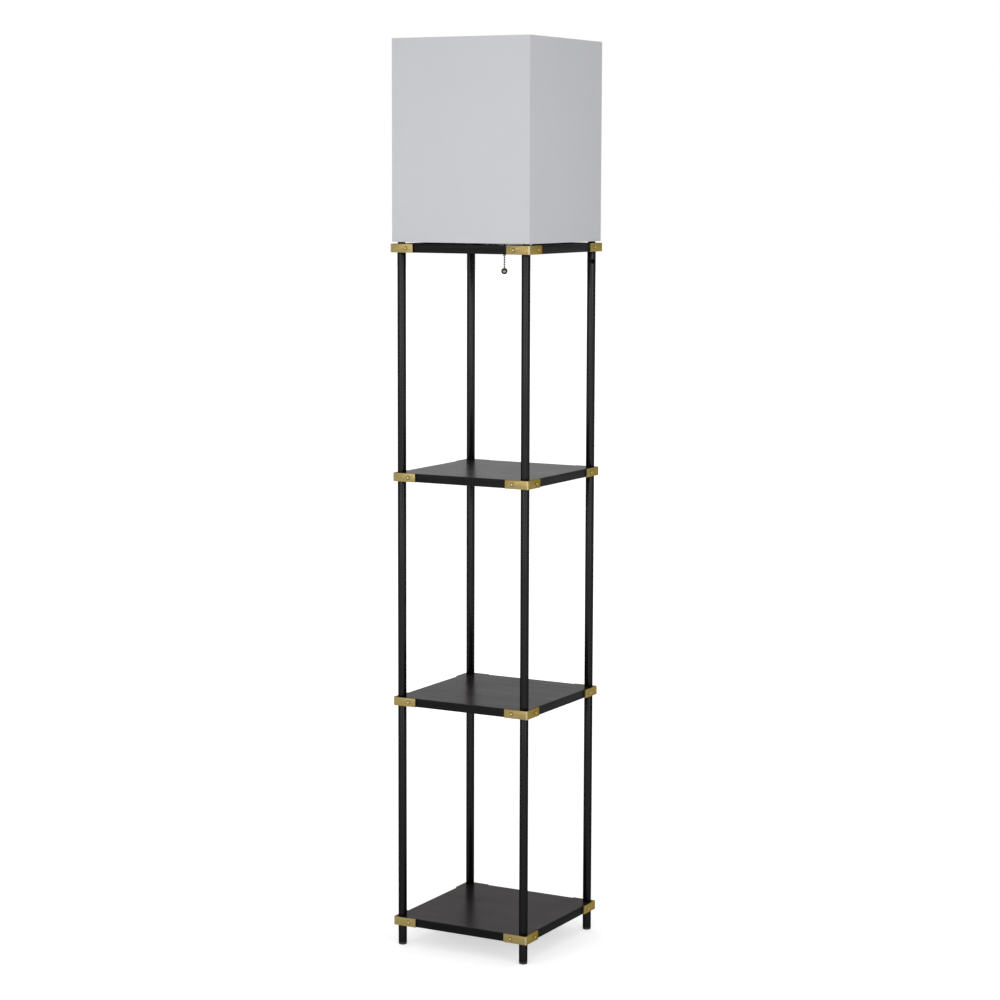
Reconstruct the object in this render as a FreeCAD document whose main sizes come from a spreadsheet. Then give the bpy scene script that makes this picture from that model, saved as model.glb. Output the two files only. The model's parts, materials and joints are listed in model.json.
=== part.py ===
import FreeCAD
import Part
import Sketcher
import math
import os

# A floor lamp that is also a shelf tower, in millimetres. Round black tubes in stacked sections
# carry three square shelves and a square top frame. Brass brackets wrap every corner. A square
# fabric shade stands on the post ends, and a pull chain hangs through the open top frame.
# X points right, Y to the back, Z up. The origin is on the floor, midway between the feet.

SIZES = [
    # Tower
    ("foot_clear", 37.0, "floor to the underside of the bottom shelf"),
    ("board_thick", 15.0, "thickness of the shelves and height of the top frame"),
    ("post_clear", 384.0, "clear length of every post"),
    ("shelf_side", 262.5, "side of a shelf board, without its brackets"),
    ("frame_side", 268.0, "side of the top frame, without its brackets"),
    ("rail_width", 24.0, "width of the top frame's rails, seen from above"),
    ("board_edge", 1.0, "rounding of a shelf's long edges"),
    ("post_offset", 122.5, "post centre to the lamp's middle, along X and along Y"),
    ("post_diameter", 15.0, "outside of every tube"),
    ("tube_wall", 1.2, "wall of every tube"),
    ("boss_length", 14.0, "welded threaded end inside a tube"),
    ("glide_height", 4.0, "part of a glide below its tube"),
    ("glide_plug", 10.0, "part of a glide inside its tube"),
    ("glide_round", 1.5, "rounded lower edge of a glide"),
    # Joining hardware
    ("nipple_diameter", 10.0, "hollow threaded nipple"),
    ("nipple_bore", 6.5, "wire way in a nipple"),
    ("nipple_grip", 12.0, "nipple inside a tube's end"),
    ("nipple_length", 39.0, "whole nipple"),
    ("board_hole", 10.5, "hole for a nipple in a board or ring"),
    ("shade_gap", 3.0, "height of the spacers between frame and shade"),
    ("spacer_diameter", 13.0, "spacers between frame and shade"),
    ("nut_flats", 14.0, "cap nut, across its flats"),
    ("nut_height", 9.0, "cap nut"),
    ("nut_roof", 1.8, "closed top of a cap nut"),
    # Corner brackets
    ("bracket_leg", 45.0, "leg of a bracket, from its outer corner"),
    ("bracket_thick", 3.0, "brass plate of a bracket"),
    ("bracket_round", 2.5, "rounded outer corner of a bracket"),
    ("bracket_ease", 0.5, "eased ends of a bracket"),
    ("screw_inset", 31.0, "bracket's outer corner to its screw"),
    ("screw_diameter", 3.2, "shank of a bracket screw"),
    ("screw_length", 14.0, "shank of a bracket screw"),
    ("head_diameter", 7.0, "dome head of a bracket screw"),
    ("head_height", 2.2, "dome head of a bracket screw"),
    # Crossbar and its screws
    ("bar_width", 20.0, "steel strap across the top frame"),
    ("bar_thick", 2.0, "steel strap"),
    ("bar_drop", 2.0, "top of the frame to the top of the strap"),
    ("ear_height", 11.0, "turned-down ends of the strap"),
    ("ear_screw_gap", 10.0, "between the two screws of an ear"),
    ("holder_screw_gap", 22.0, "between the two screws of the lampholder"),
    ("pan_diameter", 7.0, "pan head of a crossbar screw"),
    ("pan_height", 2.2, "pan head of a crossbar screw"),
    ("pan_shank", 4.0, "shank of a crossbar screw"),
    ("pan_length", 10.0, "shank of a crossbar screw"),
    # Lampholder
    ("holder_base", 10.0, "height of the lampholder's base"),
    ("holder_height", 56.0, "height of the lampholder's body"),
    ("holder_diameter", 40.0, "outside of the lampholder"),
    ("switch_room", 27.0, "height of the switch room inside the body"),
    ("holder_floor", 3.0, "floor between the switch room and the shell"),
    ("holder_wall", 4.0, "wall round the switch room"),
    ("shell_diameter", 29.2, "outside of the threaded shell"),
    ("shell_wall", 0.8, "threaded shell"),
    ("shell_height", 24.0, "threaded shell"),
    ("arm_reach", 29.0, "lampholder's middle to the end of its chain arm"),
    ("arm_width", 12.0, "chain arm"),
    ("arm_height", 24.0, "chain arm"),
    ("arm_wall", 2.5, "wall of the chain arm"),
    ("hollow_start", 6.0, "lampholder's middle to the start of the arm's hollow"),
    ("arm_mouth", 6.0, "hole for the chain under the arm"),
    ("holder_turn", -28.0, "turn of the chain arm from the X axis, in degrees"),
    # Bulb
    ("base_diameter", 26.4, "screw base of the bulb"),
    ("base_height", 27.0, "screw base of the bulb"),
    ("base_tip", 8.0, "insulated foot of the bulb, and the hole for it in the shell"),
    ("base_bevel", 1.0, "steps of the base beside its cone, measured outwards"),
    ("cone_foot", 2.0, "height where the base's cone starts"),
    ("cone_top", 5.0, "height where the base's cone ends"),
    ("thread_foot", 6.0, "height where the base is at its full width"),
    ("bulb_radius", 30.0, "round part of the bulb"),
    ("bulb_height", 78.0, "glass of the bulb"),
    ("bulb_neck", 13.0, "radius of the glass at the base"),
    ("bulb_flare", 8.0, "height where the neck starts to widen"),
    ("bulb_tangent", 27.5, "where the neck meets the round part, degrees below its middle"),
    ("bulb_wall", 1.0, "glass of the bulb"),
    # Pull chain
    ("chain_reach", 22.0, "lampholder's middle to the chain"),
    ("bead_diameter", 3.0, "bead of the chain"),
    ("bead_pitch", 4.2, "bead to bead"),
    ("wire_diameter", 0.9, "wire between the beads"),
    ("stop_pitch", 5.5, "stop bead to the first bead below the lever"),
    ("coupling_level", 1231.3, "middle of the coupling, above the floor"),
    ("coupling_length", 7.6, "coupling"),
    ("coupling_diameter", 4.4, "coupling"),
    ("coupling_bore", 3.6, "coupling"),
    ("coupling_mouth", 2.6, "narrowed ends of the coupling"),
    ("coupling_lip", 0.35, "thickness of the narrowed ends"),
    ("coupling_slot", 1.1, "slot where the chain goes in"),
    ("slot_margin", 1.0, "coupling's end to the end of its slot"),
    ("ball_diameter", 11.0, "ball at the chain's end"),
    ("ball_level", 1200.8, "middle of the ball, above the floor"),
    ("ball_hole", 3.5, "depth of the chain's end inside the ball"),
    # Switch lever
    ("lever_arm", 17.0, "lever's pin to the chain"),
    ("lever_tilt", 13.6, "lever's tilt at rest, in degrees"),
    ("lever_plate", 1.0, "thickness of the lever"),
    ("lever_width", 4.0, "width of the lever"),
    ("lever_eye", 6.0, "round end of the lever"),
    ("lever_hole", 2.6, "hole for the chain"),
    ("lever_hub", 5.2, "hub of the lever"),
    ("lever_hub_length", 8.0, "hub of the lever"),
    ("lever_pin", 3.0, "pin of the lever"),
    ("lever_pin_hole", 3.1, "pin's hole in the lugs"),
    ("lug_inner", 9.0, "clear width between the lugs"),
    ("lug_outer", 14.0, "width over the lugs"),
    ("lug_breadth", 7.0, "lugs, along the lever"),
    # Shade
    ("shade_side", 270.0, "outside of the shade"),
    ("shade_height", 348.0, "shade"),
    ("shade_wall", 1.2, "laminated fabric"),
    ("shade_round", 2.0, "outer corner of the shade"),
    ("ring_plate", 2.0, "thickness of the bottom ring"),
    ("ring_width", 6.0, "width of the bottom ring's sides"),
    ("eye_diameter", 22.0, "eye of the bottom ring, on a post's end"),
    ("top_wire", 3.5, "wire of the top ring"),
    ("top_round", 5.0, "bend of the top ring's wire at a corner"),
    # Grommet of the mains lead, in the back right post
    ("grommet_drop", 17.5, "underside of the frame to the grommet's middle"),
    ("grommet_turn", -45.0, "way the grommet faces, from the X axis, in degrees"),
    ("grommet_hole", 6.6, "hole in the post"),
    ("grommet_flange", 9.0, "grommet's flange"),
    ("grommet_bore", 4.4, "grommet's own hole"),
    ("grommet_stand", 1.2, "flange's height above the post"),
    ("grommet_depth", 2.5, "grommet behind the post's surface"),
]

CORNERS = {
    "back_right": (1, 1, 0),
    "back_left": (-1, 1, 90),
    "front_left": (-1, -1, 180),
    "front_right": (1, -1, 270),
}

UPPER_BEADS = 11
LOWER_BEADS = 6

# Heights above the floor, as expressions on the sheet
BOTTOM_SHELF = "Sizes.foot_clear"
STOREY = "(Sizes.board_thick + Sizes.post_clear)"
MIDDLE_SHELF = f"({BOTTOM_SHELF} + {STOREY})"
UPPER_SHELF = f"({BOTTOM_SHELF} + 2 * {STOREY})"
TOP_FRAME = f"({BOTTOM_SHELF} + 3 * {STOREY})"
FRAME_TOP = f"({TOP_FRAME} + Sizes.board_thick)"
SHADE_FOOT = f"({FRAME_TOP} + Sizes.shade_gap)"
BAR_TOP = f"({FRAME_TOP} - Sizes.bar_drop)"
HOLDER_BODY = f"({BAR_TOP} + Sizes.holder_base)"
SHELL_FLOOR = f"({HOLDER_BODY} + Sizes.switch_room + Sizes.holder_floor)"
GLASS_FOOT = f"({SHELL_FLOOR} + Sizes.base_height)"
CHAIN_X = "Sizes.chain_reach * cos(Sizes.holder_turn)"
CHAIN_Y = "Sizes.chain_reach * sin(Sizes.holder_turn)"
UPPER_PIVOT = "(Sizes.coupling_level + Sizes.bead_pitch / 2)"
LOWER_PIVOT = "(Sizes.coupling_level - Sizes.bead_pitch / 2)"
LAST_BEAD = f"({UPPER_BEADS - 1} * Sizes.bead_pitch)"
LEVER_TIP = f"({UPPER_PIVOT} + {LAST_BEAD} + Sizes.stop_pitch / 2)"
LEVER_PIN = f"({LEVER_TIP} - Sizes.lever_arm * sin(Sizes.lever_tilt))"
LEVER_IN = "(Sizes.chain_reach - Sizes.lever_arm * cos(Sizes.lever_tilt))"

document = FreeCAD.newDocument("ShelfLamp")
sheet = document.addObject("Spreadsheet::Sheet", "Sizes")
nodes = []


def fill_sheet():
    """Write the driving dimensions into the sheet: the note, the number and its alias."""
    for row, (alias, number, note) in enumerate(SIZES, start=1):
        sheet.set(f"A{row}", note)
        sheet.set(f"B{row}", str(number))
        sheet.setAlias(f"B{row}", alias)
    document.recompute()


def value(expression):
    """The number that an expression on the sheet gives."""
    return float(sheet.evalExpression(str(expression)))


def bind(thing, **expressions):
    """Bind properties to the sheet."""
    for name, expression in expressions.items():
        thing.setExpression(name, str(expression))


def place(thing, x="0", y="0", z="0", rotation=None):
    """Set a thing's rotation, then bind its position to the sheet."""
    turn = rotation or FreeCAD.Rotation()
    thing.Placement = FreeCAD.Placement(FreeCAD.Vector(value(x), value(y), value(z)), turn)
    for axis, expression in zip("xyz", (x, y, z)):
        thing.setExpression(f"Placement.Base.{axis}", expression)


def turned(degrees):
    """A turn about the vertical."""
    return FreeCAD.Rotation(FreeCAD.Vector(0, 0, 1), degrees)


def node(label, thing):
    """Register a sub-part under its own label."""
    thing.Label = label
    nodes.append(thing)
    return thing


def new_body(name):
    return document.addObject("PartDesign::Body", name)


def sketch_on(body, role, name, offset="0"):
    """A sketch on one of the body's own origin planes, or parallel to it."""
    sketch = body.newObject("Sketcher::SketchObject", f"{body.Name}_{name}")
    plane = [item for item in body.Origin.OriginFeatures if item.Role == role][0]
    sketch.AttachmentSupport = [(plane, "")]
    sketch.MapMode = "FlatFace"
    sketch.setExpression("AttachmentOffset.Base.z", offset)
    return sketch


def fix_point(sketch, geometry, position, x, y):
    """Hold a sketch point at two expressions."""
    for kind, axis, expression in (("DistanceX", -2, x), ("DistanceY", -1, y)):
        number = value(expression)
        if abs(number) < 1e-9:
            sketch.addConstraint(Sketcher.Constraint("PointOnObject", geometry, position, axis))
            continue
        index = sketch.addConstraint(Sketcher.Constraint(kind, -1, 1, geometry, position, number))
        sketch.setExpression(f"Constraints[{index}]", expression)


def arc_between(start, end, radius):
    """The short arc from start to end. A positive radius has its centre to the left of the way."""
    chord = end - start
    left = FreeCAD.Vector(-chord.y, chord.x, 0).normalize()
    reach = math.sqrt(max(radius * radius - chord.Length ** 2 / 4, 0))
    centre = (start + end) / 2 + left * math.copysign(reach, radius)
    first, last = (start, end) if radius > 0 else (end, start)
    angles = [math.atan2(point.y - centre.y, point.x - centre.x) for point in (first, last)]
    circle = Part.Circle(centre, FreeCAD.Vector(0, 0, 1), abs(radius))
    return Part.ArcOfCircle(circle, angles[0], angles[1])


def outline(sketch, corners):
    """Draw a closed outline. A corner is (x, y), or (x, y, radius) where the side after it bends."""
    points = [FreeCAD.Vector(value(corner[0]), value(corner[1]), 0) for corner in corners]
    first = sketch.GeometryCount
    ends = []
    for index, corner in enumerate(corners):
        start = points[index]
        end = points[(index + 1) % len(points)]
        if len(corner) == 2:
            sketch.addGeometry(Part.LineSegment(start, end), False)
            ends.append((1, 2))
            continue
        radius = value(corner[2])
        side = sketch.addGeometry(arc_between(start, end, radius), False)
        ends.append((1, 2) if radius > 0 else (2, 1))
        size = sketch.addConstraint(Sketcher.Constraint("Radius", side, abs(radius)))
        sketch.setExpression(f"Constraints[{size}]", f"abs({corner[2]})")
    for index, corner in enumerate(corners):
        before = (index - 1) % len(corners)
        sketch.addConstraint(Sketcher.Constraint(
            "Coincident", first + before, ends[before][1], first + index, ends[index][0]))
        fix_point(sketch, first + index, ends[index][0], corner[0], corner[1])


def rectangle(sketch, left, bottom, right, top):
    outline(sketch, [(left, bottom), (right, bottom), (right, top), (left, top)])


def square(sketch, side):
    """A square about the sketch's origin."""
    half = f"({side}) / 2"
    rectangle(sketch, f"-{half}", f"-{half}", half, half)


def circle(sketch, x, y, diameter):
    centre = FreeCAD.Vector(value(x), value(y), 0)
    ring = Part.Circle(centre, FreeCAD.Vector(0, 0, 1), value(diameter) / 2)
    index = sketch.addGeometry(ring, False)
    size = sketch.addConstraint(Sketcher.Constraint("Diameter", index, value(diameter)))
    sketch.setExpression(f"Constraints[{size}]", diameter)
    fix_point(sketch, index, 3, x, y)


def pad(body, sketch, length, midplane=False):
    feature = body.newObject("PartDesign::Pad", f"{sketch.Name}_pad")
    feature.Profile = sketch
    feature.Midplane = midplane
    bind(feature, Length=length)
    document.recompute()
    return feature


def pocket(body, sketch, length, midplane=False, backwards=False):
    """Cut into the body, and stop if the cut took nothing away."""
    before = body.Shape.Volume
    feature = body.newObject("PartDesign::Pocket", f"{sketch.Name}_pocket")
    feature.Profile = sketch
    feature.Midplane = midplane
    feature.Reversed = backwards
    bind(feature, Length=length)
    document.recompute()
    if body.Shape.Volume > before - 1e-3:
        raise RuntimeError(f"{feature.Name} cuts nothing")
    return feature


def revolve(body, sketch):
    """Turn a sketch right round its own vertical axis."""
    feature = body.newObject("PartDesign::Revolution", f"{sketch.Name}_turned")
    feature.Profile = sketch
    feature.ReferenceAxis = (sketch, ["V_Axis"])
    feature.Angle = 360
    document.recompute()
    return feature


def around(body, features):
    """Repeat features at the four corners, about the body's vertical axis."""
    axis = [item for item in body.Origin.OriginFeatures if item.Role == "Z_Axis"][0]
    pattern = body.newObject("PartDesign::PolarPattern", f"{features[-1].Name}_four")
    pattern.Originals = features
    pattern.Axis = (axis, [""])
    pattern.Angle = 360
    pattern.Occurrences = 4
    body.Tip = pattern
    document.recompute()
    return pattern


def fillet(body, base, radius, chosen):
    """Round the edges of a base feature that a test picks."""
    edges = [f"Edge{number}" for number, edge in enumerate(base.Shape.Edges, start=1) if chosen(edge)]
    if not edges:
        raise RuntimeError(f"{body.Name} has no such edges")
    feature = body.newObject("PartDesign::Fillet", f"{base.Name}_round")
    feature.Base = (base, edges)
    bind(feature, Radius=radius)
    document.recompute()
    return feature


def cylinder(name, radius, height, x="0", y="0", z="0", rotation=None):
    thing = document.addObject("Part::Cylinder", name)
    bind(thing, Radius=radius, Height=height)
    place(thing, x, y, z, rotation)
    return thing


def sphere(name, radius, z="0"):
    thing = document.addObject("Part::Sphere", name)
    bind(thing, Radius=radius)
    place(thing, z=z)
    return thing


def fuse(name, things):
    thing = document.addObject("Part::MultiFuse", name)
    thing.Shapes = things
    return thing


def cut(name, base, tool):
    thing = document.addObject("Part::Cut", name)
    thing.Base = base
    thing.Tool = tool
    return thing


def copies(label, pattern, spots):
    """A group of separate copies of one fastener. A spot is (x, y, z, rotation)."""
    links = []
    for number, (x, y, z, rotation) in enumerate(spots, start=1):
        link = document.addObject("App::Link", f"{label}_{number}")
        link.LinkedObject = pattern
        place(link, x, y, z, rotation)
        links.append(link)
    group = document.addObject("Part::Compound", label)
    group.Links = links
    return node(label, group)


def corner_spots(z):
    """A spot on every post's axis, at one height."""
    spots = []
    for across, deep, _ in CORNERS.values():
        spots.append((f"{across} * Sizes.post_offset", f"{deep} * Sizes.post_offset", z, None))
    return spots


def tube(label, corner, foot, length, open_foot=False):
    """A tube with threaded ends. A foot tube is open below, for its glide."""
    across, deep, _ = CORNERS[corner]
    body = new_body(label)
    inner = "(Sizes.post_diameter / 2 - Sizes.tube_wall)"
    outer = "(Sizes.post_diameter / 2)"
    bore = "(Sizes.nipple_diameter / 2)"
    sketch = sketch_on(body, "XZ_Plane", "section")
    upper = [(outer, length), (bore, length), (bore, f"{length} - Sizes.boss_length"),
             (inner, f"{length} - Sizes.boss_length")]
    if open_foot:
        lower = [(inner, "0"), (outer, "0")]
    else:
        lower = [(inner, "Sizes.boss_length"), (bore, "Sizes.boss_length"), (bore, "0"), (outer, "0")]
    outline(sketch, lower + upper)
    revolve(body, sketch)
    place(body, f"{across} * Sizes.post_offset", f"{deep} * Sizes.post_offset", foot)
    return node(label, body)


def grommet_hole(body):
    """The hole in a post for the grommet of the mains lead."""
    sketch = sketch_on(body, "XZ_Plane", "grommet")
    circle(sketch, "0", "Sizes.post_clear - Sizes.grommet_drop", "Sizes.grommet_hole")
    pocket(body, sketch, "Sizes.post_diameter", backwards=True)
    body.Placement.Rotation = turned(value("Sizes.grommet_turn") + 90)


def grommet():
    """A flanged rubber grommet whose flange is hollowed to sit on the round post."""
    outer = "(Sizes.post_diameter / 2)"
    along = FreeCAD.Rotation(FreeCAD.Vector(0, 1, 0), 90)
    length = "Sizes.grommet_stand + Sizes.grommet_depth"
    behind = f"({outer} - Sizes.grommet_depth)"
    flange = cylinder("grommet_flange", "Sizes.grommet_flange / 2", length, x=behind, rotation=along)
    post = cylinder("grommet_post", outer, "Sizes.post_diameter", z="-Sizes.post_diameter / 2")
    saddle = cut("grommet_saddle", flange, post)
    neck = cylinder("grommet_neck", "Sizes.grommet_hole / 2", length, x=behind, rotation=along)
    bore = cylinder("grommet_bore", "Sizes.grommet_bore / 2", f"2 * ({length})",
                    x=f"{behind} - Sizes.grommet_stand", rotation=along)
    thing = cut("cord_grommet", fuse("grommet_solid", [saddle, neck]), bore)
    height = f"{TOP_FRAME} - Sizes.grommet_drop"
    place(thing, "Sizes.post_offset", "Sizes.post_offset", height, turned(value("Sizes.grommet_turn")))
    node("cord_grommet", thing)


def posts():
    """The foot tubes and the three storeys of posts."""
    foot_length = "(Sizes.foot_clear - Sizes.glide_height)"
    storeys = {
        "lower": f"{BOTTOM_SHELF} + Sizes.board_thick",
        "middle": f"{MIDDLE_SHELF} + Sizes.board_thick",
        "upper": f"{UPPER_SHELF} + Sizes.board_thick",
    }
    for corner in CORNERS:
        tube(f"foot_tube_{corner}", corner, "Sizes.glide_height", foot_length, open_foot=True)
        for storey, foot in storeys.items():
            body = tube(f"{storey}_post_{corner}", corner, foot, "Sizes.post_clear")
            if (storey, corner) == ("upper", "back_right"):
                grommet_hole(body)


def glides():
    """Black glides, pushed into the foot tubes."""
    body = new_body("glide_pattern")
    outer = "Sizes.post_diameter / 2"
    plug = f"({outer} - Sizes.tube_wall)"
    sketch = sketch_on(body, "XZ_Plane", "section")
    outline(sketch, [
        ("0", "0"),
        (f"{outer} - Sizes.glide_round", "0", "Sizes.glide_round"),
        (outer, "Sizes.glide_round"),
        (outer, "Sizes.glide_height"),
        (plug, "Sizes.glide_height"),
        (plug, "Sizes.glide_height + Sizes.glide_plug"),
        ("0", "Sizes.glide_height + Sizes.glide_plug"),
    ])
    revolve(body, sketch)
    copies("foot_glides", body, corner_spots("0"))


def edge_screw_holes(body, side, per_side):
    """Blind holes in the edges of a board, for the bracket screws."""
    sketch = sketch_on(body, "XZ_Plane", "screws", f"({side}) / 2")
    reach = f"(({side}) / 2 + Sizes.bracket_thick - Sizes.screw_inset)"
    for way in per_side:
        circle(sketch, f"{way} * {reach}", "Sizes.board_thick / 2", "Sizes.screw_diameter")
    return pocket(body, sketch, "Sizes.screw_length - Sizes.bracket_thick")


def shelves():
    """Three square boards with a hole for a nipple at each corner."""
    levels = {"bottom_shelf": BOTTOM_SHELF, "middle_shelf": MIDDLE_SHELF, "upper_shelf": UPPER_SHELF}
    for label, level in levels.items():
        body = new_body(label)
        face = sketch_on(body, "XY_Plane", "board")
        square(face, "Sizes.shelf_side")
        board = pad(body, face, "Sizes.board_thick")
        fillet(body, board, "Sizes.board_edge", lambda edge: edge.BoundBox.ZLength < 1e-6)
        hole = sketch_on(body, "XY_Plane", "hole")
        circle(hole, "Sizes.post_offset", "Sizes.post_offset", "Sizes.board_hole")
        around(body, [pocket(body, hole, "Sizes.board_thick", backwards=True)])
        around(body, [edge_screw_holes(body, "Sizes.shelf_side", (-1, 1))])
        place(body, z=level)
        node(label, body)


def ear_screw_holes(body):
    """Holes in a rail's inner face for the crossbar's screws."""
    sketch = sketch_on(body, "XZ_Plane", "bar", "Sizes.frame_side / 2 - Sizes.rail_width")
    height = "Sizes.board_thick - Sizes.bar_drop - Sizes.ear_height / 2 - Sizes.bar_thick / 2"
    for way in (-1, 1):
        circle(sketch, f"{way} * Sizes.ear_screw_gap / 2", height, "Sizes.pan_shank")
    pocket(body, sketch, "Sizes.pan_length - Sizes.bar_thick", backwards=True)


def long_rail(label, turn):
    """A rail as long as the frame, with a hole for a nipple near each end."""
    body = new_body(label)
    half = "(Sizes.frame_side / 2)"
    face = sketch_on(body, "XY_Plane", "rail")
    rectangle(face, f"-{half}", f"-{half}", half, f"Sizes.rail_width - {half}")
    pad(body, face, "Sizes.board_thick")
    hole = sketch_on(body, "XY_Plane", "holes")
    for way in (-1, 1):
        circle(hole, f"{way} * Sizes.post_offset", "-Sizes.post_offset", "Sizes.board_hole")
    pocket(body, hole, "Sizes.board_thick", backwards=True)
    edge_screw_holes(body, "Sizes.frame_side", (-1, 1))
    ear_screw_holes(body)
    place(body, z=TOP_FRAME, rotation=turned(turn))
    node(label, body)


def short_rail(label, turn):
    """A rail that fits between the long ones."""
    body = new_body(label)
    half = "(Sizes.frame_side / 2)"
    inner = f"({half} - Sizes.rail_width)"
    face = sketch_on(body, "XY_Plane", "rail")
    rectangle(face, f"-{inner}", f"-{half}", inner, f"-{inner}")
    pad(body, face, "Sizes.board_thick")
    edge_screw_holes(body, "Sizes.frame_side", (-1, 1))
    place(body, z=TOP_FRAME, rotation=turned(turn))
    node(label, body)


def bracket(label, corner, half, level):
    """A brass angle round one corner of a board, with a screw hole in each leg."""
    across, deep, turn = CORNERS[corner]
    body = new_body(label)
    leg = "(Sizes.bracket_leg - Sizes.bracket_thick)"
    sketch = sketch_on(body, "XY_Plane", "angle")
    outline(sketch, [
        ("0", "0"),
        (f"-{leg}", "0"),
        (f"-{leg}", "Sizes.bracket_thick"),
        ("Sizes.bracket_thick", "Sizes.bracket_thick"),
        ("Sizes.bracket_thick", f"-{leg}"),
        ("0", f"-{leg}"),
    ])
    plate = pad(body, sketch, "Sizes.board_thick")
    thick = value("Sizes.bracket_thick")

    def outer_corner(edge):
        box = edge.BoundBox
        return box.ZLength > 1 and box.XMin > thick - 1e-6 and box.YMin > thick - 1e-6

    def leg_end(edge):
        box = edge.BoundBox
        far = value(leg) - 1e-6
        on_face = box.YMin > thick - 1e-6 or box.XMin > thick - 1e-6
        return box.ZLength > 1 and on_face and min(box.XMin, box.YMin) < -far

    rounded = fillet(body, plate, "Sizes.bracket_round", outer_corner)
    fillet(body, rounded, "Sizes.bracket_ease", leg_end)
    inset = "(Sizes.bracket_thick - Sizes.screw_inset)"
    front = sketch_on(body, "XZ_Plane", "front_screw")
    circle(front, inset, "Sizes.board_thick / 2", "Sizes.screw_diameter")
    pocket(body, front, "Sizes.bracket_thick")
    side = sketch_on(body, "YZ_Plane", "side_screw")
    circle(side, inset, "Sizes.board_thick / 2", "Sizes.screw_diameter")
    pocket(body, side, "Sizes.bracket_thick", backwards=True)
    place(body, f"{across} * {half}", f"{deep} * {half}", level, turned(turn))
    node(label, body)


def bracket_levels():
    """Every level that has brackets: its name, half its side and its height."""
    return [
        ("bottom", "Sizes.shelf_side / 2", BOTTOM_SHELF),
        ("middle", "Sizes.shelf_side / 2", MIDDLE_SHELF),
        ("upper", "Sizes.shelf_side / 2", UPPER_SHELF),
        ("top", "Sizes.frame_side / 2", TOP_FRAME),
    ]


def bracket_screws():
    """A dome-head screw in each leg of each bracket. The pattern points down its own -Z."""
    body = new_body("screw_pattern")
    head = "Sizes.head_diameter / 2"
    shank = "Sizes.screw_diameter / 2"
    dome = f"(pow({head}; 2) + pow(Sizes.head_height; 2)) / (2 * Sizes.head_height)"
    sketch = sketch_on(body, "XZ_Plane", "section")
    outline(sketch, [
        ("0", "-Sizes.screw_length"),
        (shank, "-Sizes.screw_length"),
        (shank, "0"),
        (head, "0", dome),
        ("0", "Sizes.head_height"),
    ])
    revolve(body, sketch)
    spots = []
    for _, half, level in bracket_levels():
        face = f"({half} + Sizes.bracket_thick)"
        along = f"({face} - Sizes.screw_inset)"
        height = f"{level} + Sizes.board_thick / 2"
        for number in range(4):
            turn = turned(90 * number)
            outward = turn.multiply(FreeCAD.Rotation(FreeCAD.Vector(0, 1, 0), 90))
            way = turn.multVec(FreeCAD.Vector(1, 0, 0))
            for side in (-1, 1):
                x = f"{round(way.x)} * {face} - {side * round(way.y)} * {along}"
                y = f"{round(way.y)} * {face} + {side * round(way.x)} * {along}"
                spots.append((x, y, height, outward))
    copies("bracket_screws", body, spots)


def hollow_round(name, outside, bore, height):
    """A plain round piece with a hole right through."""
    solid = cylinder(f"{name}_solid", f"{outside} / 2", height)
    hole = cylinder(f"{name}_hole", f"{bore} / 2", height)
    return cut(f"{name}_pattern", solid, hole)


def joining_hardware():
    """The nipples inside the posts, the spacers on the post ends and the cap nuts."""
    nipple = hollow_round("nipple", "Sizes.nipple_diameter", "Sizes.nipple_bore", "Sizes.nipple_length")
    spots = []
    for _, _, level in bracket_levels():
        spots += corner_spots(f"{level} - Sizes.nipple_grip")
    copies("joining_nipples", nipple, spots)
    spacer = hollow_round("spacer", "Sizes.spacer_diameter", "Sizes.nipple_diameter", "Sizes.shade_gap")
    copies("post_top_spacers", spacer, corner_spots(FRAME_TOP))
    prism = document.addObject("Part::Prism", "nut_solid")
    prism.Polygon = 6
    bind(prism, Circumradius="Sizes.nut_flats / sqrt(3)", Height="Sizes.nut_height")
    bore = cylinder("nut_bore", "Sizes.nipple_diameter / 2", "Sizes.nut_height - Sizes.nut_roof")
    nut = cut("nut_pattern", prism, bore)
    copies("shade_cap_nuts", nut, corner_spots(f"{SHADE_FOOT} + Sizes.ring_plate"))


def crossbar():
    """A strap between the long rails, with ears turned down against their inner faces."""
    body = new_body("crossbar")
    half = "(Sizes.frame_side / 2 - Sizes.rail_width)"
    inner = f"({half} - Sizes.bar_thick)"
    sketch = sketch_on(body, "YZ_Plane", "strap")
    outline(sketch, [
        (f"-{half}", "-Sizes.ear_height"),
        (f"-{inner}", "-Sizes.ear_height"),
        (f"-{inner}", "-Sizes.bar_thick"),
        (inner, "-Sizes.bar_thick"),
        (inner, "-Sizes.ear_height"),
        (half, "-Sizes.ear_height"),
        (half, "0"),
        (f"-{half}", "0"),
    ])
    pad(body, sketch, "Sizes.bar_width", midplane=True)
    ears = sketch_on(body, "XZ_Plane", "ear_holes")
    for way in (-1, 1):
        circle(ears, f"{way} * Sizes.ear_screw_gap / 2",
               "-Sizes.ear_height / 2 - Sizes.bar_thick / 2", "Sizes.pan_shank")
    pocket(body, ears, "Sizes.frame_side", midplane=True)
    holes = sketch_on(body, "XY_Plane", "holder_holes")
    for way in (-1, 1):
        circle(holes, "0", f"{way} * Sizes.holder_screw_gap / 2", "Sizes.pan_shank")
    circle(holes, "0", "0", "Sizes.nipple_diameter")
    pocket(body, holes, "Sizes.bar_thick")
    place(body, z=BAR_TOP)
    node("crossbar", body)


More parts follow.
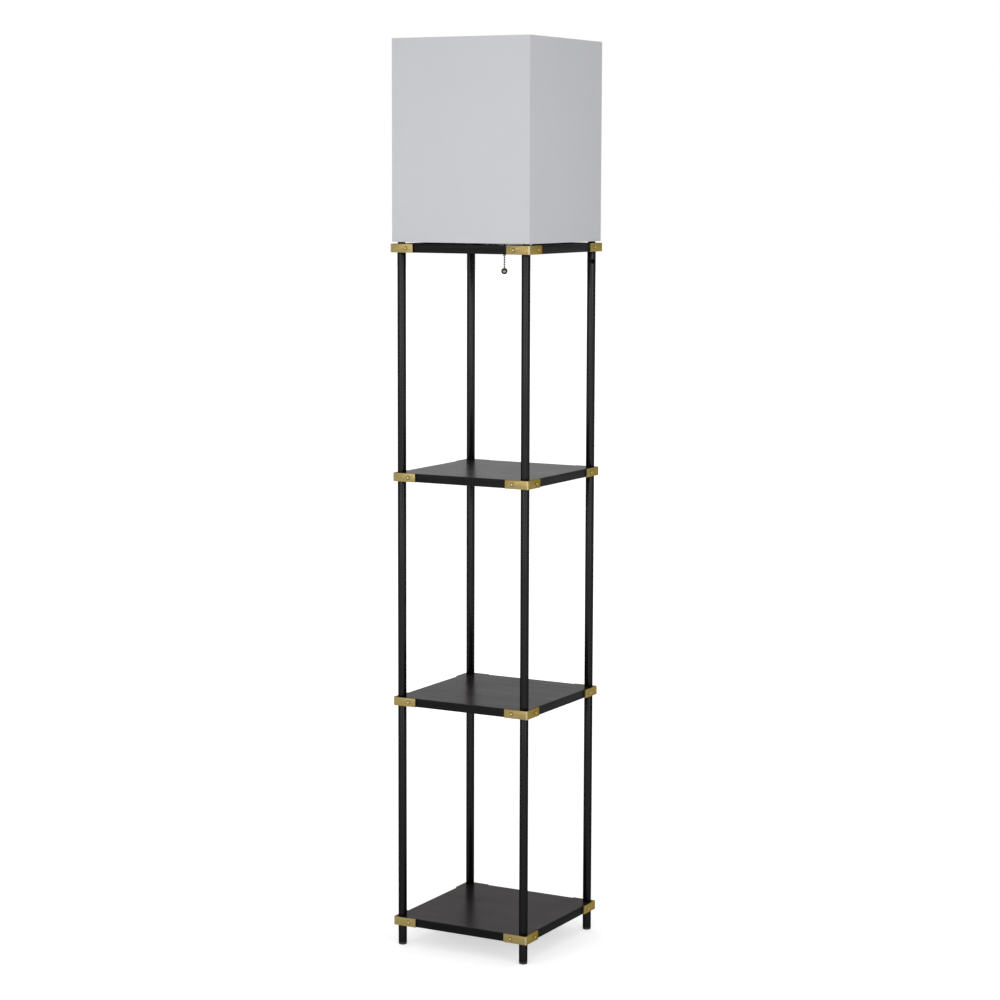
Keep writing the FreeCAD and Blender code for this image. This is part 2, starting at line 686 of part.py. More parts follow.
def crossbar_screws():
    """Pan-head screws: two in each ear, and two up into the lampholder. The shank is on -Z."""
    head = cylinder("pan_head", "Sizes.pan_diameter / 2", "Sizes.pan_height")
    shank = cylinder("pan_shank", "Sizes.pan_shank / 2", "Sizes.pan_length", z="-Sizes.pan_length")
    screw = fuse("pan_pattern", [head, shank])
    inner = "(Sizes.frame_side / 2 - Sizes.rail_width - Sizes.bar_thick)"
    height = f"{BAR_TOP} - Sizes.ear_height / 2 - Sizes.bar_thick / 2"
    spots = []
    for way, tip in ((-1, -90), (1, 90)):
        inward = FreeCAD.Rotation(FreeCAD.Vector(1, 0, 0), tip)
        for side in (-1, 1):
            spots.append((f"{side} * Sizes.ear_screw_gap / 2", f"{way} * {inner}", height, inward))
    upward = FreeCAD.Rotation(FreeCAD.Vector(1, 0, 0), 180)
    for side in (-1, 1):
        y = f"{side} * Sizes.holder_screw_gap / 2"
        spots.append(("0", y, f"{BAR_TOP} - Sizes.bar_thick", upward))
    copies("crossbar_screws", screw, spots)


def socket_base():
    """The lampholder's base: a thick disc with a wire hole and two screw holes from below."""
    body = new_body("socket_base")
    face = sketch_on(body, "XY_Plane", "disc")
    circle(face, "0", "0", "Sizes.holder_diameter")
    circle(face, "0", "0", "Sizes.nipple_diameter")
    pad(body, face, "Sizes.holder_base")
    holes = sketch_on(body, "XY_Plane", "screw_holes")
    for way in (-1, 1):
        circle(holes, "0", f"{way} * Sizes.holder_screw_gap / 2", "Sizes.pan_shank")
    pocket(body, holes, "Sizes.pan_length - Sizes.bar_thick", backwards=True)
    place(body, z=BAR_TOP)
    node("socket_base", body)


def socket_body():
    """The lampholder's body: a switch room below, a well for the shell above, and a chain arm."""
    body = new_body("socket_body")
    outer = "(Sizes.holder_diameter / 2)"
    room = f"({outer} - Sizes.holder_wall)"
    well = "(Sizes.shell_diameter / 2)"
    floor = "(Sizes.switch_room + Sizes.holder_floor)"
    section = sketch_on(body, "XZ_Plane", "section")
    outline(section, [
        (room, "0"),
        (outer, "0"),
        (outer, "Sizes.holder_height"),
        (well, "Sizes.holder_height"),
        (well, floor),
        ("0", floor),
        ("0", "Sizes.switch_room"),
        (room, "Sizes.switch_room"),
    ])
    revolve(body, section)
    tip = f"({LEVER_TIP} - {HOLDER_BODY})"
    pin = f"({LEVER_PIN} - {HOLDER_BODY})"
    low = f"({pin} - Sizes.arm_height / 2)"
    high = f"({pin} + Sizes.arm_height / 2)"
    arm = sketch_on(body, "XZ_Plane", "arm")
    rectangle(arm, room, low, "Sizes.arm_reach", high)
    pad(body, arm, "Sizes.arm_width", midplane=True)
    hollow = sketch_on(body, "XZ_Plane", "arm_hollow")
    rectangle(hollow, "Sizes.hollow_start", f"{low} + Sizes.arm_wall",
              "Sizes.arm_reach - Sizes.arm_wall", f"{high} - Sizes.arm_wall")
    pocket(body, hollow, "Sizes.arm_width - 2 * Sizes.arm_wall", midplane=True)
    mouth = sketch_on(body, "XY_Plane", "mouth")
    circle(mouth, "Sizes.chain_reach", "0", "Sizes.arm_mouth")
    pocket(body, mouth, tip, backwards=True)
    for way, name in ((-1, "left_lug"), (1, "right_lug")):
        lug = sketch_on(body, "XY_Plane", name, f"{pin} - Sizes.lug_breadth / 2")
        near = f"{LEVER_IN} - Sizes.lug_breadth / 2"
        far = f"{LEVER_IN} + Sizes.lug_breadth / 2"
        sides = [f"{way} * Sizes.lug_inner / 2", f"{way} * Sizes.lug_outer / 2"]
        rectangle(lug, near, sides[0], far, sides[1])
        pad(body, lug, f"Sizes.switch_room - {pin} + Sizes.lug_breadth / 2")
    hole = sketch_on(body, "XZ_Plane", "pin_hole")
    circle(hole, LEVER_IN, pin, "Sizes.lever_pin_hole")
    pocket(body, hole, "Sizes.lug_outer", midplane=True)
    place(body, z=HOLDER_BODY, rotation=turned(value("Sizes.holder_turn")))
    node("socket_body", body)


def screw_shell():
    """The brass shell that the bulb screws into, open in the middle for the contact."""
    body = new_body("screw_shell")
    outer = "(Sizes.shell_diameter / 2)"
    inner = f"({outer} - Sizes.shell_wall)"
    sketch = sketch_on(body, "XZ_Plane", "section")
    outline(sketch, [
        ("Sizes.base_tip", "0"),
        (outer, "0"),
        (outer, "Sizes.shell_height"),
        (inner, "Sizes.shell_height"),
        (inner, "Sizes.shell_wall"),
        ("Sizes.base_tip", "Sizes.shell_wall"),
    ])
    revolve(body, sketch)
    place(body, z=SHELL_FLOOR)
    node("screw_shell", body)


def bulb():
    """A round bulb: the metal base stands on the holder's contact, the glass on the base."""
    base = new_body("bulb_base")
    outer = "(Sizes.base_diameter / 2)"
    sketch = sketch_on(base, "XZ_Plane", "section")
    outline(sketch, [
        ("0", "0"),
        ("Sizes.base_tip / 2", "0"),
        ("Sizes.base_tip / 2 + Sizes.base_bevel", "Sizes.cone_foot"),
        (f"{outer} - Sizes.base_bevel", "Sizes.cone_top"),
        (outer, "Sizes.thread_foot"),
        (outer, "Sizes.base_height"),
        ("0", "Sizes.base_height"),
    ])
    revolve(base, sketch)
    place(base, z=SHELL_FLOOR)
    node("bulb_base", base)

    glass = new_body("bulb_glass")
    middle = "(Sizes.bulb_height - Sizes.bulb_radius)"
    meet = "Sizes.bulb_radius * cos(Sizes.bulb_tangent)"
    meet_height = f"{middle} - Sizes.bulb_radius * sin(Sizes.bulb_tangent)"
    inner = "(Sizes.bulb_radius - Sizes.bulb_wall)"
    inner_meet = f"{inner} * cos(Sizes.bulb_tangent)"
    inner_height = f"{middle} - {inner} * sin(Sizes.bulb_tangent)"
    sketch = sketch_on(glass, "XZ_Plane", "section")
    outline(sketch, [
        ("Sizes.bulb_neck - Sizes.bulb_wall", "0"),
        ("Sizes.bulb_neck", "0"),
        ("Sizes.bulb_neck", "Sizes.bulb_flare"),
        (meet, meet_height, "Sizes.bulb_radius"),
        ("0", "Sizes.bulb_height"),
        ("0", "Sizes.bulb_height - Sizes.bulb_wall", f"-{inner}"),
        (inner_meet, inner_height),
        ("Sizes.bulb_neck - Sizes.bulb_wall", "Sizes.bulb_flare"),
    ])
    revolve(glass, sketch)
    place(glass, z=GLASS_FOOT)
    node("bulb_glass", glass)


def switch_lever():
    """The stamped lever that the chain pulls down, with its hub and pin."""
    body = new_body("switch_lever")
    hub = sketch_on(body, "XZ_Plane", "hub")
    circle(hub, "0", "0", "Sizes.lever_hub")
    pad(body, hub, "Sizes.lever_hub_length", midplane=True)
    pin = sketch_on(body, "XZ_Plane", "pin")
    circle(pin, "0", "0", "Sizes.lever_pin")
    pad(body, pin, "Sizes.lug_outer", midplane=True)
    arm = sketch_on(body, "XY_Plane", "arm")
    rectangle(arm, "0", "-Sizes.lever_width / 2", "Sizes.lever_arm", "Sizes.lever_width / 2")
    pad(body, arm, "Sizes.lever_plate", midplane=True)
    eye = sketch_on(body, "XY_Plane", "eye")
    circle(eye, "Sizes.lever_arm", "0", "Sizes.lever_eye")
    pad(body, eye, "Sizes.lever_plate", midplane=True)
    hole = sketch_on(body, "XY_Plane", "hole")
    circle(hole, "Sizes.lever_arm", "0", "Sizes.lever_hole")
    pocket(body, hole, "2 * Sizes.lever_plate", midplane=True)
    tilt = FreeCAD.Rotation(FreeCAD.Vector(0, 1, 0), -value("Sizes.lever_tilt"))
    x = f"{LEVER_IN} * cos(Sizes.holder_turn)"
    y = f"{LEVER_IN} * sin(Sizes.holder_turn)"
    place(body, x, y, LEVER_PIN, turned(value("Sizes.holder_turn")).multiply(tilt))
    node("switch_lever", body)


def bead_string(label, heights, foot, top, level):
    """Beads at the given heights on one wire that runs from foot to top."""
    pieces = []
    for number, height in enumerate(heights, start=1):
        pieces.append(sphere(f"{label}_bead_{number}", "Sizes.bead_diameter / 2", height))
    pieces.append(cylinder(f"{label}_wire", "Sizes.wire_diameter / 2", f"{top} - ({foot})", z=foot))
    thing = fuse(label, pieces)
    place(thing, CHAIN_X, CHAIN_Y, level)
    node(label, thing)


def pull_chain():
    """The upper chain up to the lever, the coupling, the lower chain and the ball."""
    heights = [f"{number} * Sizes.bead_pitch" for number in range(UPPER_BEADS)]
    stop = f"{LAST_BEAD} + Sizes.stop_pitch"
    bead_string("chain_upper", heights + [stop], "0", stop, UPPER_PIVOT)

    body = new_body("chain_coupling")
    half = "(Sizes.coupling_length / 2)"
    mouth = "(Sizes.coupling_mouth / 2)"
    bore = "(Sizes.coupling_bore / 2)"
    outer = "(Sizes.coupling_diameter / 2)"
    inside = f"({half} - Sizes.coupling_lip)"
    sketch = sketch_on(body, "XZ_Plane", "section")
    outline(sketch, [
        (mouth, f"-{half}"),
        (outer, f"-{half}"),
        (outer, half),
        (mouth, half),
        (mouth, inside),
        (bore, inside),
        (bore, f"-{inside}"),
        (mouth, f"-{inside}"),
    ])
    revolve(body, sketch)
    slot = sketch_on(body, "XZ_Plane", "slot")
    wide = "Sizes.coupling_slot / 2"
    rectangle(slot, f"-{wide}", f"-{half} + Sizes.slot_margin", wide, f"{half} - Sizes.slot_margin")
    pocket(body, slot, outer)
    place(body, CHAIN_X, CHAIN_Y, "Sizes.coupling_level")
    node("chain_coupling", body)

    heights = [f"-{number} * Sizes.bead_pitch" for number in range(LOWER_BEADS)]
    end = f"Sizes.ball_level + Sizes.ball_diameter / 2 - Sizes.ball_hole - {LOWER_PIVOT}"
    bead_string("chain_lower", heights, end, "0", LOWER_PIVOT)

    ball = sphere("ball_solid", "Sizes.ball_diameter / 2")
    depth = "Sizes.ball_diameter / 2 - Sizes.ball_hole"
    hole = cylinder("ball_bore", "Sizes.wire_diameter / 2", "Sizes.ball_diameter", z=depth)
    thing = cut("pull_ball", ball, hole)
    place(thing, CHAIN_X, CHAIN_Y, "Sizes.ball_level")
    node("pull_ball", thing)


def shade():
    """A tall square drum of laminated fabric, open above and below."""
    body = new_body("shade")
    sketch = sketch_on(body, "XY_Plane", "drum")
    square(sketch, "Sizes.shade_side")
    square(sketch, "Sizes.shade_side - 2 * Sizes.shade_wall")
    drum = pad(body, sketch, "Sizes.shade_height")
    half = value("Sizes.shade_side / 2")

    def upright(edge):
        box = edge.BoundBox
        return box.ZLength > 1 and abs(box.XMin) > half - 1e-6 and abs(box.YMin) > half - 1e-6

    rounded = fillet(body, drum, "Sizes.shade_round", upright)
    inner = half - value("Sizes.shade_wall")

    def inner_upright(edge):
        box = edge.BoundBox
        return box.ZLength > 1 and abs(abs(box.XMin) - inner) < 1e-6 and abs(abs(box.YMin) - inner) < 1e-6

    fillet(body, rounded, "Sizes.shade_round - Sizes.shade_wall", inner_upright)
    place(body, z=SHADE_FOOT)
    node("shade", body)


def shade_bottom_ring():
    """A flat square ring inside the shade's foot, with an eye on each post's end."""
    body = new_body("shade_bottom_ring")
    outside = "Sizes.shade_side - 2 * Sizes.shade_wall"
    sketch = sketch_on(body, "XY_Plane", "ring")
    square(sketch, outside)
    square(sketch, f"{outside} - 2 * Sizes.ring_width")
    ring = pad(body, sketch, "Sizes.ring_plate")
    half = value(f"({outside}) / 2")

    def corner(edge):
        box = edge.BoundBox
        return box.ZLength > 1 and abs(box.XMin) > half - 1e-6 and abs(box.YMin) > half - 1e-6

    fillet(body, ring, "Sizes.shade_round - Sizes.shade_wall", corner)
    eye = sketch_on(body, "XY_Plane", "eye")
    circle(eye, "Sizes.post_offset", "Sizes.post_offset", "Sizes.eye_diameter")
    around(body, [pad(body, eye, "Sizes.ring_plate")])
    hole = sketch_on(body, "XY_Plane", "hole")
    circle(hole, "Sizes.post_offset", "Sizes.post_offset", "Sizes.board_hole")
    around(body, [pocket(body, hole, "Sizes.ring_plate", backwards=True)])
    place(body, z=SHADE_FOOT)
    node("shade_bottom_ring", body)


def shade_top_ring():
    """A square ring of round wire inside the shade's rim."""
    body = new_body("shade_top_ring")
    half = "(Sizes.shade_side / 2 - Sizes.shade_wall - Sizes.top_wire / 2)"
    bend = "Sizes.top_round"
    path = sketch_on(body, "XY_Plane", "path")
    outline(path, [
        (f"-{half} + {bend}", f"-{half}"),
        (f"{half} - {bend}", f"-{half}", bend),
        (half, f"-{half} + {bend}"),
        (half, f"{half} - {bend}", bend),
        (f"{half} - {bend}", half),
        (f"-{half} + {bend}", half, bend),
        (f"-{half}", f"{half} - {bend}"),
        (f"-{half}", f"-{half} + {bend}", bend),
    ])
    section = sketch_on(body, "YZ_Plane", "section")
    circle(section, f"-{half}", "0", "Sizes.top_wire")
    pipe = body.newObject("PartDesign::AdditivePipe", "top_ring_wire")
    pipe.Profile = section
    pipe.Spine = (path, [f"Edge{number}" for number in range(1, 9)])
    place(body, z=f"{SHADE_FOOT} + Sizes.shade_height - Sizes.top_wire / 2")
    node("shade_top_ring", body)


def export():
    """Check every object, then write one file for each sub-part."""
    document.recompute()
    for thing in document.Objects:
        if "Invalid" in thing.State or "Error" in thing.State:
            raise RuntimeError(f"{thing.Label} failed: {thing.State}")
    os.makedirs("parts", exist_ok=True)
    for thing in nodes:
        shape = thing.Shape
        if shape.isNull() or not shape.isValid() or not shape.Solids:
            raise RuntimeError(f"{thing.Label} has no valid solid")
        shape.exportStep(f"parts/{thing.Label}.step")
        print(f"{thing.Label:28s} solids {len(shape.Solids):2d}  volume {shape.Volume:12.1f}")
    print(f"{len(nodes)} sub-parts")


fill_sheet()
posts()
glides()
shelves()
long_rail("top_rail_front", 0)
long_rail("top_rail_back", 180)
short_rail("top_rail_right", 90)
short_rail("top_rail_left", 270)
for level_name, level_half, level_height in bracket_levels():
    for corner_name in CORNERS:
        bracket(f"{level_name}_bracket_{corner_name}", corner_name, f"({level_half})", level_height)
bracket_screws()
joining_hardware()
crossbar()
crossbar_screws()
socket_base()
socket_body()
screw_shell()
bulb()
switch_lever()
pull_chain()
shade()
shade_bottom_ring()
shade_top_ring()
grommet()
export()
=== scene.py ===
import json
import math

import bmesh
import bpy
from bpy.props import FloatProperty, FloatVectorProperty, PointerProperty
from bpy.types import Operator, Panel, PropertyGroup
from mathutils import Matrix, Vector

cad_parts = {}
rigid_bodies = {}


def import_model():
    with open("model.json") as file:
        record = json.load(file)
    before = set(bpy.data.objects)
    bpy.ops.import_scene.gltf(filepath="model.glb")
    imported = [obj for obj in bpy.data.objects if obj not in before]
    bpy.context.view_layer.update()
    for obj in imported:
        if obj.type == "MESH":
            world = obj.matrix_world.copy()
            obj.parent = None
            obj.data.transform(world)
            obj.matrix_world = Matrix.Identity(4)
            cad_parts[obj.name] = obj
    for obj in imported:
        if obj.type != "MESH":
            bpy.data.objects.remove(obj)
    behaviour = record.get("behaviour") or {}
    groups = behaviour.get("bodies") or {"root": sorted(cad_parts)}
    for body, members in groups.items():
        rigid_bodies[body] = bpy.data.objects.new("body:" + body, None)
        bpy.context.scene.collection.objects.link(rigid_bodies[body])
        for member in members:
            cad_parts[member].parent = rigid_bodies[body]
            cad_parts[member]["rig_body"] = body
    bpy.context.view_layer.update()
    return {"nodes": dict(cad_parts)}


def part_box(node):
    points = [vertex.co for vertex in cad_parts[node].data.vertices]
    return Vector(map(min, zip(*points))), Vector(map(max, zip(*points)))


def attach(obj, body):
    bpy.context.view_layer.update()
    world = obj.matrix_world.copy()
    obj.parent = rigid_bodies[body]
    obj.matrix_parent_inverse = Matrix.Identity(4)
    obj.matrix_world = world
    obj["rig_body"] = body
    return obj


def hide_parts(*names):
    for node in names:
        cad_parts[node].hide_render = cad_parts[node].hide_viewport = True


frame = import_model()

bl_info = {
    "name": "Shelf floor lamp",
    "version": (1, 0, 0),
    "blender": (4, 5, 0),
    "location": "3D View > Sidebar > Shelf lamp",
    "description": "Dresses the packed shelf floor lamp and sets it in a plain studio",
    "category": "Object",
}

MM = 0.001
TINY = 1e-6
CUT_PAST = 1.0 * MM             # a cutting tool passes a face by this
NIPPLE_HOLE = 5.25 * MM         # radius of the holes that the nipples go through
NIPPLE_RADIUS = 5.0 * MM
BRACKET_PLATE = 3.0 * MM
SCREW_SHANK = 1.6 * MM          # radius of a bracket screw
SCREW_LENGTH = 14.0 * MM        # a bracket screw below its head
BEAD_RADIUS = 1.5 * MM
BEAD_PITCH = 4.2 * MM
WIRE_RADIUS = 0.45 * MM         # wire between the beads
LEVELS = ("bottom", "middle", "upper", "top")
CORNERS = {"back_right": (1, 1), "back_left": (-1, 1), "front_left": (-1, -1), "front_right": (1, -1)}


def length(name, description, millimetres):
    """A size that the user may change, stored in metres."""
    return FloatProperty(name=name, description=description, default=millimetres * MM, min=0.0,
                         precision=5, unit="LENGTH", subtype="DISTANCE")


def colour(name, description, red, green, blue):
    """A colour that the user may change."""
    return FloatVectorProperty(name=name, description=description, default=(red, green, blue),
                               min=0.0, max=1.0, size=3, subtype="COLOR")


class ShelfLampSizes(PropertyGroup):
    """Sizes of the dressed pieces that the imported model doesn't settle."""
    tube_edge: length("Tube edge", "Rounding of a tube's ends", 0.4)
    board_edge: length("Board edge", "Rounding of a shelf's long edges", 1.0)
    rail_edge: length("Rail edge", "Rounding of a rail's edges", 0.6)
    bracket_corner: length("Bracket corner", "Rounding of a bracket's outer corner", 2.5)
    bracket_edge: length("Bracket edge", "Rounding of a bracket's other edges", 0.5)
    screw_inset: length("Screw inset", "A bracket's outer corner to its screw", 31.0)
    cloth_wall: length("Cloth wall", "Thickness of the shade's laminated cloth", 1.2)
    cloth_thread: length("Cloth thread", "Width of one thread of the shade's cloth", 0.55)


class ShelfLampColours(PropertyGroup):
    """Colours of the finishes."""
    tube_black: colour("Tube black", "Semi-gloss paint of the tubes", 0.0034, 0.0034, 0.0037)
    laminate_black: colour("Laminate black", "Faces of the shelves", 0.0130, 0.0080, 0.0100)
    brass: colour("Brass", "Satin brass of the brackets and their screws", 0.280, 0.216, 0.084)
    # This colour shows where the chain and ball face the eye, and it fades away from the eye: a painted
    # highlight.
    dark_brass: colour("Dark brass", "Pull chain and its ball", 0.340, 0.330, 0.260)
    cloth: colour("Cloth", "Thread of the shade", 0.755, 0.760, 0.790)
    liner: colour("Liner", "Inside of the shade", 0.86, 0.86, 0.85)


# Node tools

def add(tree, kind, inputs=None, **settings):
    """Add a node, change its settings, then link or set its inputs."""
    node = tree.nodes.new(kind)
    for name, setting in settings.items():
        setattr(node, name, setting)
    for key, value in (inputs or {}).items():
        if isinstance(value, bpy.types.NodeSocket):
            tree.links.new(value, node.inputs[key])
        else:
            node.inputs[key].default_value = value
    return node


def figure(tree, operation, first, second=0.0, third=0.0, clamp=False):
    """The result of one Math node."""
    node = add(tree, "ShaderNodeMath", {0: first, 1: second, 2: third}, operation=operation, use_clamp=clamp)
    return node.outputs[0]


def blend_colour(tree, factor, first, second, mode="MIX"):
    """Mix two colours."""
    node = add(tree, "ShaderNodeMix", {0: factor, 6: first, 7: second}, data_type="RGBA", blend_type=mode)
    return node.outputs[2]


def span(tree, value, low, high, to_low, to_high):
    """Map a value from one span to another, and clamp it."""
    node = add(tree, "ShaderNodeMapRange", {0: value, 1: low, 2: high, 3: to_low, 4: to_high})
    return node.outputs[0]


def noise(tree, vector, scale, detail=2.0, roughness=0.5):
    """A noise value."""
    node = add(tree, "ShaderNodeTexNoise",
               {"Vector": vector, "Scale": scale, "Detail": detail, "Roughness": roughness})
    return node.outputs[0]


def swing(tree, value, amount, middle):
    """A noise's swing about a half, made larger or smaller, about another middle."""
    return figure(tree, "MULTIPLY_ADD", figure(tree, "SUBTRACT", value, 0.5), amount, middle)


def stretched(tree, vector, x, y, z):
    """A vector scaled along its axes."""
    return add(tree, "ShaderNodeMapping", {"Vector": vector, "Scale": (x, y, z)}).outputs[0]


def effect(name, inputs, outputs):
    """A new node group with named sockets: the tree, its input node and its output node."""
    tree = bpy.data.node_groups.new(name, "ShaderNodeTree")
    for label, default in inputs.items():
        kind = "NodeSocketVector" if default is None else "NodeSocketFloat"
        socket = tree.interface.new_socket(label, in_out="INPUT", socket_type=kind)
        if default is not None:
            socket.default_value = default
    for label in outputs:
        tree.interface.new_socket(label, in_out="OUTPUT", socket_type="NodeSocketFloat")
    return tree, tree.nodes.new("NodeGroupInput").outputs, tree.nodes.new("NodeGroupOutput")


def use(tree, name, **inputs):
    """Place a node group, and give its outputs."""
    return add(tree, "ShaderNodeGroup", inputs, node_tree=bpy.data.node_groups[name]).outputs


# Effects that several finishes share

def make_mottle():
    """Slow, soft changes of tone over a surface, and the same for its roughness."""
    tree, given, result = effect("Mottle", {"Vector": None, "Scale": 12.0, "Tone": 0.1, "Rough": 0.05},
                                 ("Tone", "Rough"))
    broad = noise(tree, given["Vector"], given["Scale"], 3.0)
    other = noise(tree, stretched(tree, given["Vector"], 1.7, 1.3, 2.1), given["Scale"], 4.0, 0.6)
    for label, value, middle in (("Tone", broad, 1.0), ("Rough", other, 0.0)):
        amount = figure(tree, "MULTIPLY", given[label], 4.0)
        tree.links.new(swing(tree, value, amount, middle), result.inputs[label])


def make_paint_skin():
    """The orange peel of sprayed paint: a fine ripple over a slower one."""
    tree, given, result = effect("Paint skin", {"Vector": None, "Peel": 700.0}, ("Height",))
    fine = noise(tree, given["Vector"], given["Peel"], 1.0)
    slow = noise(tree, given["Vector"], figure(tree, "MULTIPLY", given["Peel"], 0.2), 2.0)
    tree.links.new(figure(tree, "MULTIPLY_ADD", slow, 0.8, fine), result.inputs["Height"])


def make_brushing():
    """Fine level lines, as a brushed or rolled metal has."""
    tree, given, result = effect("Brushing", {"Vector": None, "Lines": 1800.0}, ("Tone", "Height"))
    flat = stretched(tree, given["Vector"], 0.02, 0.02, 1.0)
    fine = noise(tree, flat, given["Lines"], 3.0, 0.7)
    coarse = noise(tree, flat, figure(tree, "MULTIPLY", given["Lines"], 0.22), 2.0)
    both = swing(tree, coarse, 0.6, fine)
    tree.links.new(span(tree, both, 0.25, 0.75, -1.0, 1.0), result.inputs["Tone"])
    tree.links.new(both, result.inputs["Height"])


def make_edge_wear_and_shade():
    """A broken mask along rounded edges, from the piece's own edge attribute."""
    tree, given, result = effect("Edge wear and shade", {"Vector": None, "Edge": 0.0, "Amount": 0.5}, ("Mask",))
    broken = span(tree, noise(tree, given["Vector"], 220.0, 3.0, 0.6), 0.35, 0.62, 0.35, 1.0)
    mask = figure(tree, "MULTIPLY", figure(tree, "MULTIPLY", given["Edge"], broken), given["Amount"])
    tree.links.new(mask, result.inputs["Mask"])


# Finishes

def finish(name, base, roughness, **constants):
    """A new material: its tree, its shader and the object's own coordinates."""
    material = bpy.data.materials.new(f"{name}_finish")
    material.use_nodes = True
    material.diffuse_color = (*base, 1.0)
    tree = material.node_tree
    shader = tree.nodes["Principled BSDF"]
    constants.update(Base_Color=(*base, 1.0), Roughness=roughness)
    for label, value in constants.items():
        shader.inputs[label.replace("_", " ")].default_value = value
    return tree, shader, tree.nodes.new("ShaderNodeTexCoord").outputs["Object"]


def finished(name):
    """The finish made under a name."""
    return bpy.data.materials[f"{name}_finish"]


def mark_of(tree, mark="edge"):
    """A mark that shaping leaves on a piece: its edges, or where a painted highlight goes."""
    return add(tree, "ShaderNodeAttribute", attribute_name=mark).outputs["Fac"]


def set_tone(tree, shader, base, tone, mask=None, edge_wear_and_shade=None):
    """Base colour times a tone, with another colour along the edges."""
    shade = blend_colour(tree, 1.0, (*base, 1.0), tone, "MULTIPLY")
    if edge_wear_and_shade is not None:
        shade = blend_colour(tree, mask, shade, (*edge_wear_and_shade, 1.0))
    tree.links.new(shade, shader.inputs["Base Color"])
    return shade


def set_rough(tree, shader, middle, change):
    """Roughness about a middle value."""
    tree.links.new(figure(tree, "ADD", change, middle, clamp=True), shader.inputs["Roughness"])


def set_bump(tree, shader, height, strength, depth):
    """Bump from a height."""
    bump = add(tree, "ShaderNodeBump", {"Height": height, "Strength": strength, "Distance": depth})
    tree.links.new(bump.outputs[0], shader.inputs["Normal"])


def turned_away(tree, fade):
    """One where the surface faces the eye, and less where it turns away."""
    facing = tree.nodes.new("ShaderNodeLayerWeight").outputs["Facing"]
    return figure(tree, "POWER", figure(tree, "SUBTRACT", 1.0, facing), fade)


def painted_shade_by_height(tree, place):
    """How much of the gloss is kept: less near the floor, so that lower parts render darker. This is painted
    shade, as if less light fell there.
    """
    floor, frame_top, gloss_low_down, gloss_high_up = 0.0, 1.25, 0.62, 1.22
    height = add(tree, "ShaderNodeSeparateXYZ", {0: place}).outputs[2]
    return span(tree, height, floor, frame_top, gloss_low_down, gloss_high_up)


def set_gloss(tree, shader, place, weight, fade=2.2):
    """A coat that is strongest where the surface faces the eye."""
    # A weaker coat lower down: painted shade towards the floor.
    left = figure(tree, "MULTIPLY", painted_shade_by_height(tree, place), weight)
    tree.links.new(figure(tree, "MULTIPLY", turned_away(tree, fade), left), shader.inputs["Coat Weight"])


def painted(name, base, roughness, peel=700.0, depth=0.00004, wear=None, gloss=0.0, **constants):
    """Sprayed paint: orange peel, slow changes of gloss and slightly rubbed edges."""
    tree, shader, place = finish(name, base, roughness, **constants)
    if gloss:
        set_gloss(tree, shader, place, gloss)
    mottle = use(tree, "Mottle", Vector=place, Scale=14.0, Tone=0.08, Rough=0.05)
    mask = use(tree, "Edge wear and shade", Vector=place, Edge=mark_of(tree), Amount=0.5)["Mask"]
    edge_wear_and_shade = wear or tuple(min(1.0, part * 1.8 + 0.004) for part in base)
    set_tone(tree, shader, base, mottle["Tone"], mask, edge_wear_and_shade)
    set_rough(tree, shader, roughness, mottle["Rough"])
    skin = use(tree, "Paint skin", Vector=place, Peel=peel)["Height"]
    set_bump(tree, shader, skin, 0.6, depth)


def metal(name, base, roughness, lines=1800.0, brushing=0.05, depth=0.00001, edge=None, painted_highlight=None,
          blotch=0.0, fade=0.0):
    """Worked metal: fine lines, slow tarnish, another tone along edges (a darker one is painted shade), a
    painted highlight where marked, and, if asked, a painted highlight where it faces the eye that fades to a
    painted dark rim.
    """
    rim = (0.0, 0.0, 0.0, 1.0) if fade else (*(min(1.0, part * 1.4 + 0.08) for part in base), 1.0)
    tree, shader, place = finish(name, base, roughness, Metallic=1.0, Specular_Tint=rim,
                                 Specular_IOR_Level=0.0 if fade else 0.5)
    mottle = use(tree, "Mottle", Vector=place, Scale=26.0, Tone=0.07, Rough=0.05)
    lay = use(tree, "Brushing", Vector=place, Lines=lines)
    tone = figure(tree, "MULTIPLY_ADD", lay["Tone"], brushing, mottle["Tone"])
    if blotch:
        cloud = noise(tree, stretched(tree, place, 1.0, 1.0, 1.6), 210.0, 3.0, 0.65)
        tone = swing(tree, cloud, blotch, tone)
    # Colour and metalness fall off where the surface turns away from the eye: a painted highlight in the
    # middle and a painted dark rim, standing for reflection.
    if fade:
        tone = figure(tree, "MULTIPLY", tone, turned_away(tree, fade))
        tree.links.new(turned_away(tree, 0.8), shader.inputs["Metallic"])
    # Edges get a lighter worn tone by default. The darker edge colours given for brass stand for shade:
    # painted shade.
    mask = use(tree, "Edge wear and shade", Vector=place, Edge=mark_of(tree), Amount=0.7)["Mask"]
    edge_wear_and_shade = edge or tuple(min(1.0, part * 1.3) for part in base)
    colour = set_tone(tree, shader, base, tone, mask, edge_wear_and_shade)
    # Where the painted highlight mark is, a brighter colour is painted in: a painted highlight.
    if painted_highlight:
        colour = blend_colour(tree, mark_of(tree, "painted_highlight"), colour, (*painted_highlight, 1.0))
        tree.links.new(colour, shader.inputs["Base Color"])
    set_rough(tree, shader, roughness, figure(tree, "MULTIPLY_ADD", lay["Tone"], brushing, mottle["Rough"]))
    set_bump(tree, shader, lay["Height"], 0.5, depth)


